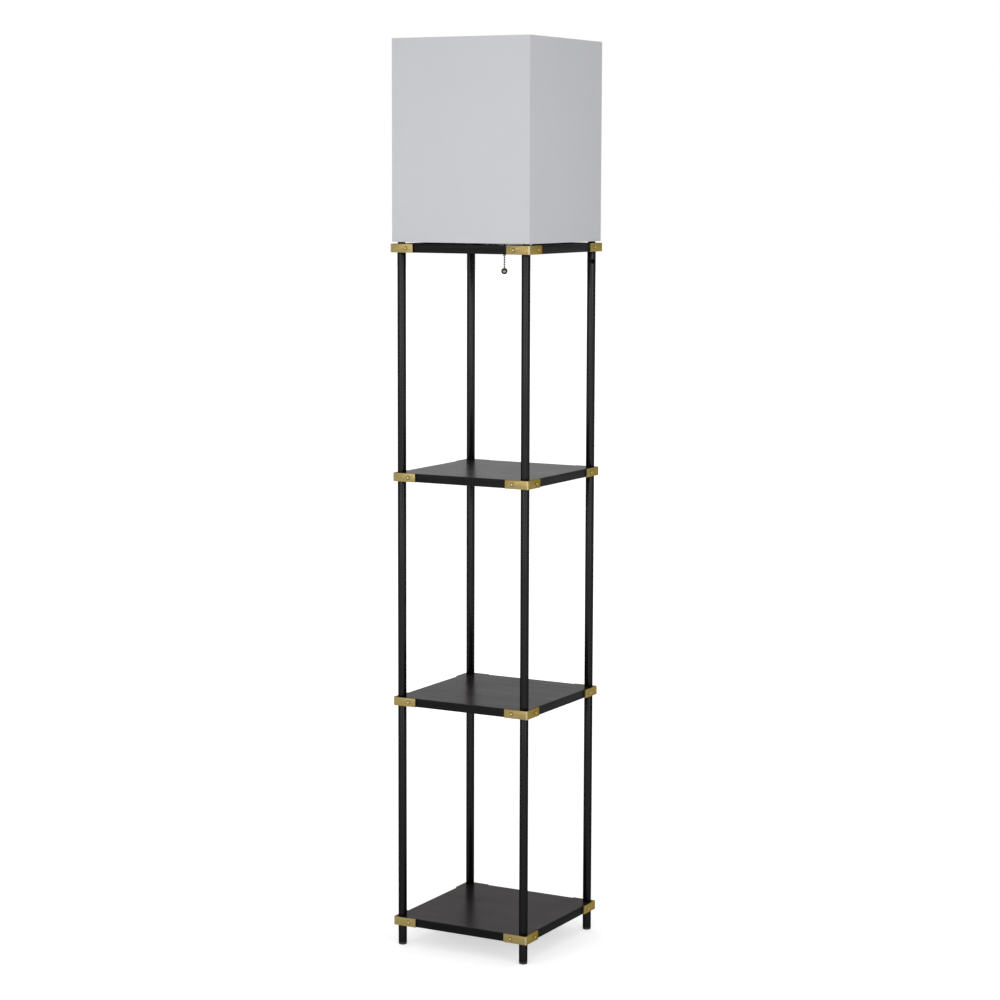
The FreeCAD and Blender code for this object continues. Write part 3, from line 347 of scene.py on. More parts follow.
def grained(name, base, roughness, scale, change, grain, bump, detail=1.0, **constants):
    """Slow changes of tone and gloss, and a fine even grain."""
    tree, shader, place = finish(name, base, roughness, **constants)
    mottle = use(tree, "Mottle", Vector=place, Scale=scale, Tone=change, Rough=0.06)
    set_tone(tree, shader, base, mottle["Tone"])
    set_rough(tree, shader, roughness, mottle["Rough"])
    set_bump(tree, shader, noise(tree, place, grain, detail), *bump)


def moulded(name, base, roughness, grain=1400.0, depth=0.00003, **constants):
    """Moulded plastic or rubber."""
    grained(name, base, roughness, 30.0, 0.1, grain, (0.5, depth), 2.0, **constants)


def laminate(name, base, band=False):
    """Black laminate with faint streaks of a pressed grain. An edge band is plainer."""
    coat = (0.35, 1.5, 0.24) if band else (0.27, 1.4, 0.50)
    tree, shader, place = finish(name, base, 0.5, Specular_IOR_Level=0.0,
                                 Coat_Roughness=coat[0], Coat_IOR=coat[1])
    mottle = use(tree, "Mottle", Vector=place, Scale=9.0, Tone=0.06, Rough=0.04)
    grain = (5.0, 5.0, 90.0) if band else (4.0, 70.0, 70.0)
    streak = noise(tree, stretched(tree, place, *grain), 1.0, 5.0, 0.65)
    pores = noise(tree, stretched(tree, place, 60.0, 1500.0, 1500.0), 1.0, 2.0)
    tone = swing(tree, streak, 0.7, mottle["Tone"])
    mask = use(tree, "Edge wear and shade", Vector=place, Edge=mark_of(tree), Amount=0.35)["Mask"]
    set_tone(tree, shader, base, tone, mask, (0.012, 0.012, 0.012))
    change = swing(tree, streak, 0.22, mottle["Rough"])
    weight = figure(tree, "ADD", change, coat[2], clamp=True)
    # The coat weakens towards the floor: painted shade.
    tree.links.new(figure(tree, "MULTIPLY", weight, painted_shade_by_height(tree, place)), shader.inputs["Coat Weight"])
    set_bump(tree, shader, figure(tree, "MULTIPLY_ADD", streak, 0.4, pores), 0.5, 0.00003)


def woven(name, base, thread):
    """Plain-weave cloth with slubs. It reads the shade's own map, which is in metres."""
    tree, shader, _ = finish(name, base, 0.92, Specular_IOR_Level=0.12, Sheen_Weight=0.12,
                             Sheen_Roughness=0.5)
    cloth = add(tree, "ShaderNodeUVMap", uv_map="cloth").outputs[0]
    drift = add(tree, "ShaderNodeTexNoise", {"Vector": cloth, "Scale": 60.0, "Detail": 1.0}).outputs["Color"]
    waver = add(tree, "ShaderNodeVectorMath", {0: drift, 1: (0.5, 0.5, 0.5)}, operation="SUBTRACT").outputs[0]
    bent = add(tree, "ShaderNodeVectorMath", {0: waver, 1: (0.0006, 0.0006, 0.0), 2: cloth},
               operation="MULTIPLY_ADD").outputs[0]
    counted = add(tree, "ShaderNodeVectorMath", {0: bent, "Scale": 1.0 / thread},
                  operation="SCALE").outputs[0]
    parts = add(tree, "ShaderNodeSeparateXYZ", {0: counted}).outputs
    warp = ridge(tree, parts[0])
    weft = ridge(tree, parts[1])
    odd = figure(tree, "FLOORED_MODULO", figure(tree, "ADD", figure(tree, "FLOOR", parts[0]),
                                                figure(tree, "FLOOR", parts[1])), 2.0)
    over = add(tree, "ShaderNodeMix", {0: odd, 2: warp, 3: weft}, data_type="FLOAT").outputs[0]
    slub_up = noise(tree, stretched(tree, cloth, 1500.0, 45.0, 1.0), 1.0, 2.0)
    slub_across = noise(tree, stretched(tree, cloth, 45.0, 1500.0, 1.0), 1.0, 2.0)
    slubs = figure(tree, "ADD", span(tree, slub_up, 0.58, 0.78, 0.0, 1.0),
                   span(tree, slub_across, 0.58, 0.78, 0.0, 1.0))
    broad = noise(tree, cloth, 7.0, 2.0)
    tone = figure(tree, "MULTIPLY_ADD", over, 0.09, 0.935)
    tone = figure(tree, "MULTIPLY_ADD", slubs, 0.035, tone)
    tone = swing(tree, broad, 0.05, tone)
    set_tone(tree, shader, base, tone)
    height = figure(tree, "MULTIPLY_ADD", slubs, 0.6, over)
    set_bump(tree, shader, height, 0.35, 0.00015)


def ridge(tree, count):
    """The round back of one thread after another."""
    return figure(tree, "ABSOLUTE", figure(tree, "SINE", figure(tree, "MULTIPLY", count, math.pi)))


def make_finishes():
    """Every finish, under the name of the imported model's material slot where there is one."""
    tints = bpy.context.scene.shelf_lamp_colours
    sizes = bpy.context.scene.shelf_lamp_sizes
    for make_effect in (make_mottle, make_paint_skin, make_brushing, make_edge_wear_and_shade):
        make_effect()
    tube = tuple(tints.tube_black)
    brass = tuple(tints.brass)
    dark = tuple(tints.dark_brass)
    painted("black_tube", tube, 0.5, gloss=0.54, Specular_IOR_Level=0.0, Coat_Roughness=0.26)
    painted("black_spacer", tube, 0.5, gloss=0.5, Specular_IOR_Level=0.0, Coat_Roughness=0.28)
    painted("black_rail", tube, 0.5, peel=500.0, Specular_IOR_Level=0.0,
            Coat_Weight=0.22, Coat_Roughness=0.35)
    painted("white_ring", (0.82, 0.82, 0.81), 0.45, wear=(0.7, 0.7, 0.69))
    # Brackets: the darker edge colour is painted shade along their edges, and the lighter colour is a painted
    # highlight down the rounded outer corner.
    metal("satin_brass", brass, 0.36, lines=1500.0, edge=(0.120, 0.095, 0.038), painted_highlight=(0.40, 0.33, 0.19),
          blotch=0.36)
    # Screw heads: the dark edge colour is a painted shade ring, and the bright one is a painted highlight on
    # the top.
    metal("screw_brass", brass, 0.26, lines=600.0, edge=(0.055, 0.042, 0.016), painted_highlight=(0.74, 0.64, 0.42),
          blotch=0.15)
    metal("zinc_steel", (0.60, 0.60, 0.58), 0.35, lines=900.0, brushing=0.03)
    metal("shell_brass", (0.72, 0.52, 0.22), 0.25, brushing=0.02)
    metal("bulb_metal", (0.72, 0.72, 0.70), 0.25, brushing=0.03)
    groove = (0.02, 0.017, 0.01)
    # Pull chain and ball: the colour fades away from the eye, giving a painted highlight with a painted dark
    # rim.
    metal("dark_brass", dark, 0.2, brushing=0.03, edge=groove, fade=6.0)
    metal("chain_brass", tuple(part * 0.25 for part in dark), 0.3, brushing=0.03, edge=groove, fade=3.0)
    moulded("black_glide", (0.012, 0.012, 0.012), 0.55)
    moulded("black_holder", (0.012, 0.012, 0.012), 0.28, grain=500.0, depth=0.00001)
    moulded("black_rubber", (0.004, 0.004, 0.004), 0.8, Specular_IOR_Level=0.12)
    laminate("black_laminate", tuple(tints.laminate_black))
    laminate("black_edge_band", tube, band=True)
    woven("shade_fabric", tuple(tints.cloth), sizes.cloth_thread)
    grained("shade_liner", tuple(tints.liner), 0.38, 8.0, 0.02, 900.0, (0.3, 0.00003),
            Specular_IOR_Level=0.4)
    grained("bulb_glass", (0.93, 0.93, 0.92), 0.32, 40.0, 0.02, 2200.0, (0.2, 0.00001),
            Transmission_Weight=0.55, IOR=1.45)


# Shape tools

def shape():
    """An empty bmesh whose faces can carry the edge mark and the painted highlight mark."""
    bm = bmesh.new()
    for mark in ("edge", "painted_highlight"):
        bm.faces.layers.float.new(mark)
    return bm


def moved(bm, matrix):
    bmesh.ops.transform(bm, matrix=matrix, verts=bm.verts)
    return bm


def at(x, y, z):
    return Matrix.Translation((x, y, z))


def block(low, high):
    """A box between two corners."""
    bm = shape()
    bmesh.ops.create_cube(bm, size=1.0)
    size = Vector(high) - Vector(low)
    bmesh.ops.scale(bm, vec=size, verts=bm.verts)
    bmesh.ops.translate(bm, vec=(Vector(low) + Vector(high)) / 2, verts=bm.verts)
    return bm


def rod(radius, foot, head, segments=32):
    """An upright closed rod."""
    bm = shape()
    bmesh.ops.create_cone(bm, cap_ends=True, segments=segments, radius1=radius, radius2=radius,
                          depth=head - foot)
    bmesh.ops.translate(bm, vec=(0, 0, (foot + head) / 2), verts=bm.verts)
    return bm


def plate(outline, foot):
    """A flat face through (x, y) points."""
    bm = shape()
    bm.faces.new([bm.verts.new((x, y, foot)) for x, y in outline])
    return bm


def drawn_up(bm, height):
    """A flat face drawn up into a closed block."""
    grown = bmesh.ops.extrude_face_region(bm, geom=bm.faces[:])["geom"]
    raised = [item for item in grown if isinstance(item, bmesh.types.BMVert)]
    bmesh.ops.translate(bm, vec=(0, 0, height), verts=raised)
    bmesh.ops.recalc_face_normals(bm, faces=bm.faces)
    return bm


def lathe(profile, segments=48, closed=True):
    """Spin (radius, height) points about the upright axis. An open profile starts and ends on it."""
    bm = shape()
    points = [bm.verts.new((radius, 0, height)) for radius, height in profile]
    sides = [bm.edges.new(pair) for pair in zip(points, points[1:])]
    if closed:
        sides.append(bm.edges.new((points[-1], points[0])))
    bmesh.ops.spin(bm, geom=points + sides, cent=(0, 0, 0), axis=(0, 0, 1), dvec=(0, 0, 0),
                   angle=math.tau, steps=segments, use_merge=True)
    bmesh.ops.remove_doubles(bm, verts=bm.verts, dist=1e-7)
    bmesh.ops.recalc_face_normals(bm, faces=bm.faces)
    return bm


def arc(radius, middle, start, end, steps):
    """Points (radius, height) on an arc about a point of the axis. Angles are from the axis, in degrees."""
    turns = [math.radians(start + (end - start) * step / steps) for step in range(steps + 1)]
    return [(radius * math.sin(turn), middle + radius * math.cos(turn)) for turn in turns]


def soften(bm, width, segments=2, chosen=None, corner=30.0, mark="edge"):
    """Round the sharp edges that a test picks, and mark the new faces."""
    least = math.radians(corner)
    sharp = [edge for edge in bm.edges if edge.is_manifold and edge.calc_face_angle(0.0) > least
             and (chosen is None or chosen(*(vert.co for vert in edge.verts)))]
    if not sharp:
        raise RuntimeError("no such edge to round")
    made = bmesh.ops.bevel(bm, geom=sharp, offset=width, offset_type="OFFSET", segments=segments, profile=0.5,
                           affect="EDGES", clamp_overlap=True, material=-1)
    layer = bm.faces.layers.float[mark]
    for face in made["faces"]:
        face[layer] = 1.0
    return bm


def mesh_of(bm, name):
    """A new mesh from a bmesh, which is used up."""
    mesh = bpy.data.meshes.new(name)
    bm.to_mesh(mesh)
    bm.free()
    return mesh


def shown(name, data):
    """A new object in the scene."""
    thing = bpy.data.objects.new(name, data)
    bpy.context.scene.collection.objects.link(thing)
    return thing


def joined(*shapes):
    """Several closed shapes as one bmesh."""
    whole = shape()
    for bm in shapes:
        mesh = mesh_of(bm, "part")
        whole.from_mesh(mesh)
        bpy.data.meshes.remove(mesh)
    return whole


def gathered(pattern, places):
    """Copies of one shape at several places."""
    mesh = mesh_of(pattern, "pattern")
    whole = shape()
    for place in places:
        mesh.transform(place)
        whole.from_mesh(mesh)
        mesh.transform(place.inverted())
    bpy.data.meshes.remove(mesh)
    return whole


def carved(bm, tool, operation="DIFFERENCE"):
    """Cut one closed shape with another."""
    pair = [shown(label, mesh_of(each, label)) for label, each in (("carved", bm), ("tool", tool))]
    cut = pair[0].modifiers.new("cut", "BOOLEAN")
    cut.operation = operation
    cut.solver = "EXACT"
    cut.object = pair[1]
    bpy.context.view_layer.update()
    result = bmesh.new()
    result.from_object(pair[0], bpy.context.evaluated_depsgraph_get())
    for thing in pair:
        mesh = thing.data
        bpy.data.objects.remove(thing)
        bpy.data.meshes.remove(mesh)
    if not result.faces:
        raise RuntimeError("the cut left nothing")
    return result


def piece(node, bm, slot, *finishes, sharp=32.0):
    """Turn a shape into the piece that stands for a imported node, on the same body."""
    name = f"{node}_finished"
    mesh = mesh_of(bm, name)
    mesh.shade_smooth()
    mesh.set_sharp_from_angle(angle=math.radians(sharp))
    for label in finishes or (slot,):
        mesh.materials.append(finished(label))
    thing = shown(name, mesh)
    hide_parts(node)
    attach(thing, frame["nodes"][node]["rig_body"])
    return thing


def eased(node, width, slot):
    """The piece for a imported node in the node's own shape, with its sharp edges rounded."""
    bm = shape()
    bm.from_mesh(frame["nodes"][node].data)
    bmesh.ops.remove_doubles(bm, verts=bm.verts, dist=TINY)
    bmesh.ops.dissolve_limit(bm, angle_limit=math.radians(0.5), verts=bm.verts, edges=bm.edges)
    piece(node, soften(bm, width, 2, corner=40.0), slot)


def carried(node, finish_name):
    """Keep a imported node's own shape, with a better finish."""
    for slot in frame["nodes"][node].material_slots:
        slot.material = finished(finish_name)


def centre(node):
    low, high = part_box(node)
    return (low + high) / 2


def upright(node):
    """A round node's foot above the floor, its height and its radius."""
    low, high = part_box(node)
    return low.z, high.z - low.z, (high.x - low.x) / 2


def corner_places(height):
    """The four posts' axes, at one height."""
    reach = centre("foot_tube_back_right").x
    return [at(x * reach, y * reach, height) for x, y in CORNERS.values()]


def nipple_holes(low, high):
    """Tools for the holes that the nipples go through, in a board or a rail."""
    return gathered(rod(NIPPLE_HOLE, low.z - CUT_PAST, high.z + CUT_PAST), corner_places(0.0))


def level_box(level):
    """The box of a shelf, or of the top frame."""
    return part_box("top_rail_front") if level == "top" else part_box(f"{level}_shelf")


# Operators

class SHELFLAMP_OT_stage(Operator):
    """Set up the camera, the soft lights, the white world and the pale floor"""
    bl_idname = "shelf_lamp.stage"
    bl_label = "Stage"

    def around(self, azimuth, distance, height):
        """A place at a compass angle from +X, seen from above."""
        turn = math.radians(azimuth)
        return Vector((distance * math.cos(turn), distance * math.sin(turn), height))

    def softbox(self, name, spot, width, height, power, mirrored=True):
        """A large lamp that the camera doesn't see, nor a reflection if it isn't mirrored."""
        light = bpy.data.lights.new(name, "AREA")
        light.shape = "RECTANGLE"
        light.size, light.size_y = width, height
        light.energy = power
        lamp = shown(name, light)
        lamp.location = spot
        lamp.rotation_euler = (Vector((0, 0, 1.1)) - spot).to_track_quat("-Z", "Y").to_euler()
        lamp.visible_camera = False
        lamp.visible_glossy = mirrored

    def camera(self):
        """The photograph's view: its place and turn, and a lens as long."""
        eye = (2.22432, -4.03591, 1.36351)
        yaw, pitch, roll = math.radians(28.792), math.radians(7.026), math.radians(0.168)
        level_part = math.cos(pitch)
        forward = Vector((-math.sin(yaw) * level_part, math.cos(yaw) * level_part, -math.sin(pitch)))
        level = Vector((math.cos(yaw), math.sin(yaw), 0.0))
        raised = level.cross(forward)
        right = math.cos(roll) * level + math.sin(roll) * raised
        above = right.cross(forward)
        data = bpy.data.cameras.new("Camera")
        data.sensor_width = 36.0
        data.lens = 94.255
        data.clip_end = 100.0
        camera = shown("Camera", data)
        turn = Matrix((right, above, -forward)).transposed().to_4x4()
        camera.matrix_world = at(*eye) @ turn
        bpy.context.scene.camera = camera

    def seen(self, tree):
        """One where the eye, a reflection or a look through glass meets the background."""
        path = tree.nodes.new("ShaderNodeLightPath").outputs
        shown = figure(tree, "MAXIMUM", path["Is Camera Ray"], path["Is Glossy Ray"])
        return figure(tree, "MAXIMUM", shown, path["Is Transmission Ray"])

    def world(self):
        world = bpy.context.scene.world or bpy.data.worlds.new("World")
        bpy.context.scene.world = world
        world.use_nodes = True
        tree = world.node_tree
        sky = tree.nodes["Background"]
        sky.inputs["Color"].default_value = (1.0, 1.0, 1.0, 1.0)
        tree.links.new(span(tree, self.seen(tree), 0.0, 1.0, 0.50, 1.0), sky.inputs["Strength"])

    def floor(self):
        bm = bmesh.new()
        bmesh.ops.create_grid(bm, x_segments=1, y_segments=1, size=30.0)
        floor = shown("floor", mesh_of(bm, "floor"))
        tree, shader, place = finish("pale_floor", (0.86, 0.86, 0.86), 0.9, Specular_IOR_Level=0.0,
                                     Emission_Color=(1.0, 1.0, 1.0, 1.0))
        tone = figure(tree, "MULTIPLY_ADD", noise(tree, place, 3.0, 2.0), 0.01, 0.995)
        set_tone(tree, shader, (0.86, 0.86, 0.86), tone)
        away = add(tree, "ShaderNodeVectorMath", {0: place}, operation="LENGTH").outputs["Value"]
        glow = figure(tree, "MULTIPLY", span(tree, away, 0.6, 3.0, 0.58, 0.75), self.seen(tree))
        tree.links.new(glow, shader.inputs["Emission Strength"])
        floor.data.materials.append(finished("pale_floor"))

    def execute(self, context):
        context.scene.view_settings.view_transform = "Standard"
        self.camera()
        self.world()
        self.floor()
        self.softbox("left_box", self.around(-106, 3.4, 1.45), 0.9, 1.9, 13.4)
        self.softbox("right_box", self.around(-31, 3.4, 1.45), 0.9, 1.9, 18.3)
        self.softbox("front_box", self.around(-80, 3.8, 1.5), 0.7, 1.6, 12.7)
        self.softbox("back_fill", self.around(135, 3.6, 1.5), 1.2, 1.9, 13.0, mirrored=False)
        return {"FINISHED"}


class SHELFLAMP_OT_tubes(Operator):
    """Build the foot tubes and the three storeys of posts"""
    bl_idname = "shelf_lamp.tubes"
    bl_label = "Tubes"

    def lead_hole(self):
        """The tool for the grommet's hole, which faces outwards between the front and the right."""
        radius, reach, facing = 3.3 * MM, 12.0 * MM, math.radians(-45.0)
        drill = moved(rod(radius, 0.0, reach), Matrix.Rotation(math.pi / 2, 4, "Y"))
        return moved(drill, Matrix.Rotation(facing, 4, "Z"))

    def execute(self, context):
        edge = context.scene.shelf_lamp_sizes.tube_edge
        wall, boss, bore = 1.2 * MM, 14.0 * MM, NIPPLE_RADIUS
        for corner in CORNERS:
            for storey in ("foot_tube", "lower_post", "middle_post", "upper_post"):
                node = f"{storey}_{corner}"
                level, top, outer = upright(node)
                inner = outer - wall
                foot = [(inner, 0.0)] if storey == "foot_tube" else [(inner, boss), (bore, boss), (bore, 0.0)]
                head = [(outer, top), (bore, top), (bore, top - boss), (inner, top - boss)]
                bm = lathe(foot + [(outer, 0.0)] + head, 64)
                soften(bm, edge, 2, lambda a, b: min(a.xy.length, b.xy.length) > outer - 10 * TINY)
                moved(bm, at(*centre(node).xy, level))
                if node == "upper_post_back_right":
                    bm = carved(bm, moved(self.lead_hole(), at(*centre(node).xy, centre("cord_grommet").z)))
                piece(node, bm, "black_tube")
        carried("joining_nipples", "zinc_steel")
        return {"FINISHED"}


class SHELFLAMP_OT_glides(Operator):
    """Build the four glides under the foot tubes"""
    bl_idname = "shelf_lamp.glides"
    bl_label = "Glides"

    def execute(self, context):
        outer, plug, foot, head = 7.5 * MM, 6.3 * MM, 4.0 * MM, 14.0 * MM
        near = 0.1 * MM

        def shoulder(a, b):
            """The rim that the tube stands on."""
            return min(a.z, b.z) > foot - near and min(a.xy.length, b.xy.length) > outer - near

        bm = lathe([(0.0, head), (plug, head), (plug, foot), (outer, foot), (outer, 0.0), (0.0, 0.0)], 48,
                   closed=False)
        soften(bm, 1.5 * MM, 5, lambda a, b: max(a.z, b.z) < TINY)
        soften(bm, 0.25 * MM, 2, shoulder)
        piece("foot_glides", gathered(bm, corner_places(0.0)), "black_glide")
        return {"FINISHED"}


class SHELFLAMP_OT_shelves(Operator):
    """Build the three laminated shelf boards"""
    bl_idname = "shelf_lamp.shelves"
    bl_label = "Shelves"

    def execute(self, context):
        sizes = context.scene.shelf_lamp_sizes
        for level in LEVELS[:3]:
            node = f"{level}_shelf"
            low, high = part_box(node)
            bm = soften(block(low, high), sizes.board_edge, 3, lambda a, b: abs(a.z - b.z) < TINY)
            screws = edge_holes(high.x, sizes.screw_inset, (low.z + high.z) / 2)
            bm = carved(bm, joined(nipple_holes(low, high), screws))
            for face in bm.faces:
                face.material_index = int(abs(face.normal.z) < 0.9)
            piece(node, bm, "black_laminate", "black_laminate", "black_edge_band")
        return {"FINISHED"}


def outward(turn):
    """The turn that lays an upright shape down to point out of one side."""
    return Matrix.Rotation(turn, 4, "Z") @ Matrix.Rotation(math.pi / 2, 4, "Y")


def side_places(face, along, height, turns=(0, 1, 2, 3)):
    """Two places on each side of the lamp, at one height, pointing outwards."""
    places = []
    for number in turns:
        turn = Matrix.Rotation(number * math.pi / 2, 4, "Z")
        for way in (-1, 1):
            spot = turn @ Vector((face, way * along, height))
            places.append(Matrix.Translation(spot) @ outward(number * math.pi / 2))
    return places


def edge_holes(half, inset, height):
    """Tools for the bracket screws' holes in a board's edges."""
    deep = SCREW_LENGTH - BRACKET_PLATE
    tool = rod(SCREW_SHANK, -deep, BRACKET_PLATE + CUT_PAST, 16)
    return gathered(tool, side_places(half, half + BRACKET_PLATE - inset, height))


class SHELFLAMP_OT_top_frame(Operator):
    """Build the four rails of the top frame"""
    bl_idname = "shelf_lamp.top_frame"
    bl_label = "Top frame"

    def execute(self, context):
        sizes = context.scene.shelf_lamp_sizes
        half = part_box("top_rail_front")[1].x
        for side in ("front", "back", "left", "right"):
            node = f"top_rail_{side}"
            low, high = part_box(node)
            bm = soften(block(low, high), sizes.rail_edge, 2)
            tools = edge_holes(half, sizes.screw_inset, (low.z + high.z) / 2)
            if side in ("front", "back"):
                tools = joined(tools, nipple_holes(low, high))
            piece(node, carved(bm, tools), "black_rail")
        return {"FINISHED"}


class SHELFLAMP_OT_brackets(Operator):
    """Build the sixteen brass corner brackets and their dome-head screws"""
    bl_idname = "shelf_lamp.brackets"
    bl_label = "Brackets"

    def bracket(self, tall, leg, sizes):
        """A bracket with its outer corner at the origin and its legs along -X and -Y."""
        thick = BRACKET_PLATE

        def outside(a, b):
            """An edge of the outer faces, and not a level one across a leg's end."""
            level_end = abs(a.z - b.z) < TINY and min(a.x + a.y, b.x + b.y) < -leg - thick / 2
            return max(a.x, a.y, b.x, b.y) > -TINY and not level_end

        corner = [(0, 0), (-leg, 0), (-leg, -thick), (-thick, -thick), (-thick, -leg), (0, -leg)]
        bm = drawn_up(plate(corner, 0.0), tall)
        # The rounded outer corner gets the painted highlight mark: a painted highlight down the corner.
        soften(bm, sizes.bracket_corner, 6, lambda a, b: max(a.xy.length, b.xy.length) < TINY, mark="painted_highlight")
        # The other rounded edges get the edge mark, which the brass finish paints darker: painted shade.
        return soften(bm, sizes.bracket_edge, 2, outside)

    def execute(self, context):
        sizes = context.scene.shelf_lamp_sizes
        for level in LEVELS:
            for number, corner in enumerate(CORNERS):
                node = f"{level}_bracket_{corner}"
                low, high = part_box(node)
                bm = self.bracket(high.z - low.z, high.x - low.x, sizes)
                far = Vector([max(low[i], high[i], key=abs) for i in (0, 1)])
                holes = side_places(0.0, sizes.screw_inset, (high.z - low.z) / 2, (0, 1))
                drill = rod(SCREW_SHANK, -BRACKET_PLATE - 2 * CUT_PAST, 2 * CUT_PAST, 16)
                tool = gathered(drill, [holes[0], holes[3]])
                bm = moved(carved(bm, tool), Matrix.Rotation(number * math.pi / 2, 4, "Z"))
                piece(node, moved(bm, at(far.x, far.y, low.z)), "satin_brass")
        self.screws(sizes)
        return {"FINISHED"}

    def screws(self, sizes):
        """Dome heads with a painted dark ring at the foot, which stands for shade, and a painted highlight on
        the top.
        """
        head, tall = 3.5 * MM, 2.2 * MM
        round_radius = (head ** 2 + tall ** 2) / (2 * tall)
        rim = math.degrees(math.asin(head / round_radius))
        dome = arc(round_radius, tall - round_radius, rim, 0.0, 16)
        shank = [(0.0, -SCREW_LENGTH), (SCREW_SHANK, -SCREW_LENGTH), (SCREW_SHANK, 0.0)]
        bm = lathe(shank + dome[:-1] + [(0.0, tall)], 28, closed=False)
        edge, painted_highlight = (bm.faces.layers.float[mark] for mark in ("edge", "painted_highlight"))
        for face in bm.faces:
            middle = face.calc_center_median()
            out = middle.xy.length / head
            # The outer part of each dome gets a painted dark ring (painted shade), and the middle gets a
            # painted highlight.
            if middle.z > 0.0:
                face[edge] = min(1.0, max(0.0, (out - 0.6) * 4.0))
                face[painted_highlight] = min(0.8, max(0.0, (0.5 - out) * 2.5))
        places = []
        for level in LEVELS:
            low, high = level_box(level)
            face = high.x + BRACKET_PLATE
            places += side_places(face, face - sizes.screw_inset, (low.z + high.z) / 2)
        piece("bracket_screws", gathered(bm, places), "satin_brass", "screw_brass")


class SHELFLAMP_OT_shade_mount(Operator):
    """Build the spacers on the post ends, the cap nuts and the shade's two rings"""
    bl_idname = "shelf_lamp.shade_mount"
    bl_label = "Shade mount"

    def cap_nut(self, tall):
        """A hexagon with eased corners under a round cap, closed at the top."""
        flats, roof, cap, corner, chamfer = 14.0 * MM, 1.8 * MM, 6.2 * MM, 8.2 * MM, 7.3 * MM
        hexagon = rod(flats / math.sqrt(3), -CUT_PAST, tall + CUT_PAST, 6)
        moved(hexagon, Matrix.Rotation(math.pi / 6, 4, "Z"))
        side = [(0.0, 0.0), (chamfer, 0.0), (corner, 0.6 * MM), (corner, 4.2 * MM), (chamfer, 5.0 * MM),
                (cap, 5.2 * MM)]
        dome = arc(cap, tall - cap, 64.0, 0.0, 6)[:-1]
        envelope = lathe(side + dome + [(0.0, tall)], 36, closed=False)
        # Turned a little, so that its edges miss the hexagon's corners
        moved(envelope, Matrix.Rotation(math.radians(3.0), 4, "Z"))
        return carved(carved(envelope, hexagon, "INTERSECT"), rod(NIPPLE_RADIUS, -CUT_PAST, tall - roof))

    def execute(self, context):
        foot, tall, _ = upright("post_top_spacers")
        bore, outer = NIPPLE_RADIUS, 6.5 * MM
        bm = soften(lathe([(bore, 0.0), (outer, 0.0), (outer, tall), (bore, tall)]), 0.3 * MM)
        piece("post_top_spacers", gathered(bm, corner_places(foot)), "black_spacer")
        foot, tall, _ = upright("shade_cap_nuts")
        piece("shade_cap_nuts", gathered(self.cap_nut(tall), corner_places(foot)), "zinc_steel")
        eased("shade_bottom_ring", 0.3 * MM, "white_ring")
        carried("shade_top_ring", "white_ring")
        return {"FINISHED"}


class SHELFLAMP_OT_shade(Operator):
    """Build the tall square shade: woven cloth outside and a smooth lining inside"""
    bl_idname = "shelf_lamp.shade"
    bl_label = "Shade"

    def map_cloth(self, bm):
        """A map in metres: along the wall from the back left corner, and up."""
        layer = bm.loops.layers.uv.new("cloth")
        spots = {(round(v.co.x, 6), round(v.co.y, 6)) for v in bm.verts}
        start = math.radians(135.5)     # just past the back left corner
        ring = sorted(spots, key=lambda spot: (math.atan2(spot[1], spot[0]) - start) % math.tau)
        reach, total = {}, 0.0
        for before, spot in zip([ring[0]] + ring, ring):
            total += math.dist(before, spot)
            reach[spot] = total
        around = total + math.dist(ring[-1], ring[0])
        for face in bm.faces:
            steps = [reach[(round(loop.vert.co.x, 6), round(loop.vert.co.y, 6))] for loop in face.loops]
            for loop, step in zip(face.loops, steps):
                loop[layer].uv = (step if max(steps) - step < around / 2 else step + around, loop.vert.co.z)
        return around

    def execute(self, context):
        sizes = context.scene.shelf_lamp_sizes
        low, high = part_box("shade")
        corner = 2.0 * MM
        bm = plate([(x * high.x, y * high.y) for x, y in CORNERS.values()], low.z)
        bmesh.ops.bevel(bm, geom=bm.verts[:], offset=corner, offset_type="OFFSET", segments=4, profile=0.5,
                        affect="VERTICES", clamp_overlap=True, material=-1)
        drawn_up(bm, high.z - low.z)
        lids = [face for face in bm.faces if abs(face.normal.z) > 0.5]
        bmesh.ops.delete(bm, geom=lids, context="FACES_ONLY")
        around = self.map_cloth(bm)
        shade = piece("shade", bm, "shade_fabric", "shade_fabric", "shade_liner", sharp=60.0)
        wall = shade.modifiers.new("wall", "SOLIDIFY")
        wall.thickness = sizes.cloth_wall
        wall.offset = -1.0
        wall.use_even_offset = True
        wall.material_offset = 1
        rim = shade.modifiers.new("rim", "BEVEL")
        rim.width = 0.35 * MM
        rim.segments = 2
        rim.limit_method = "ANGLE"
        rim.angle_limit = math.radians(60.0)
        return {"FINISHED"}


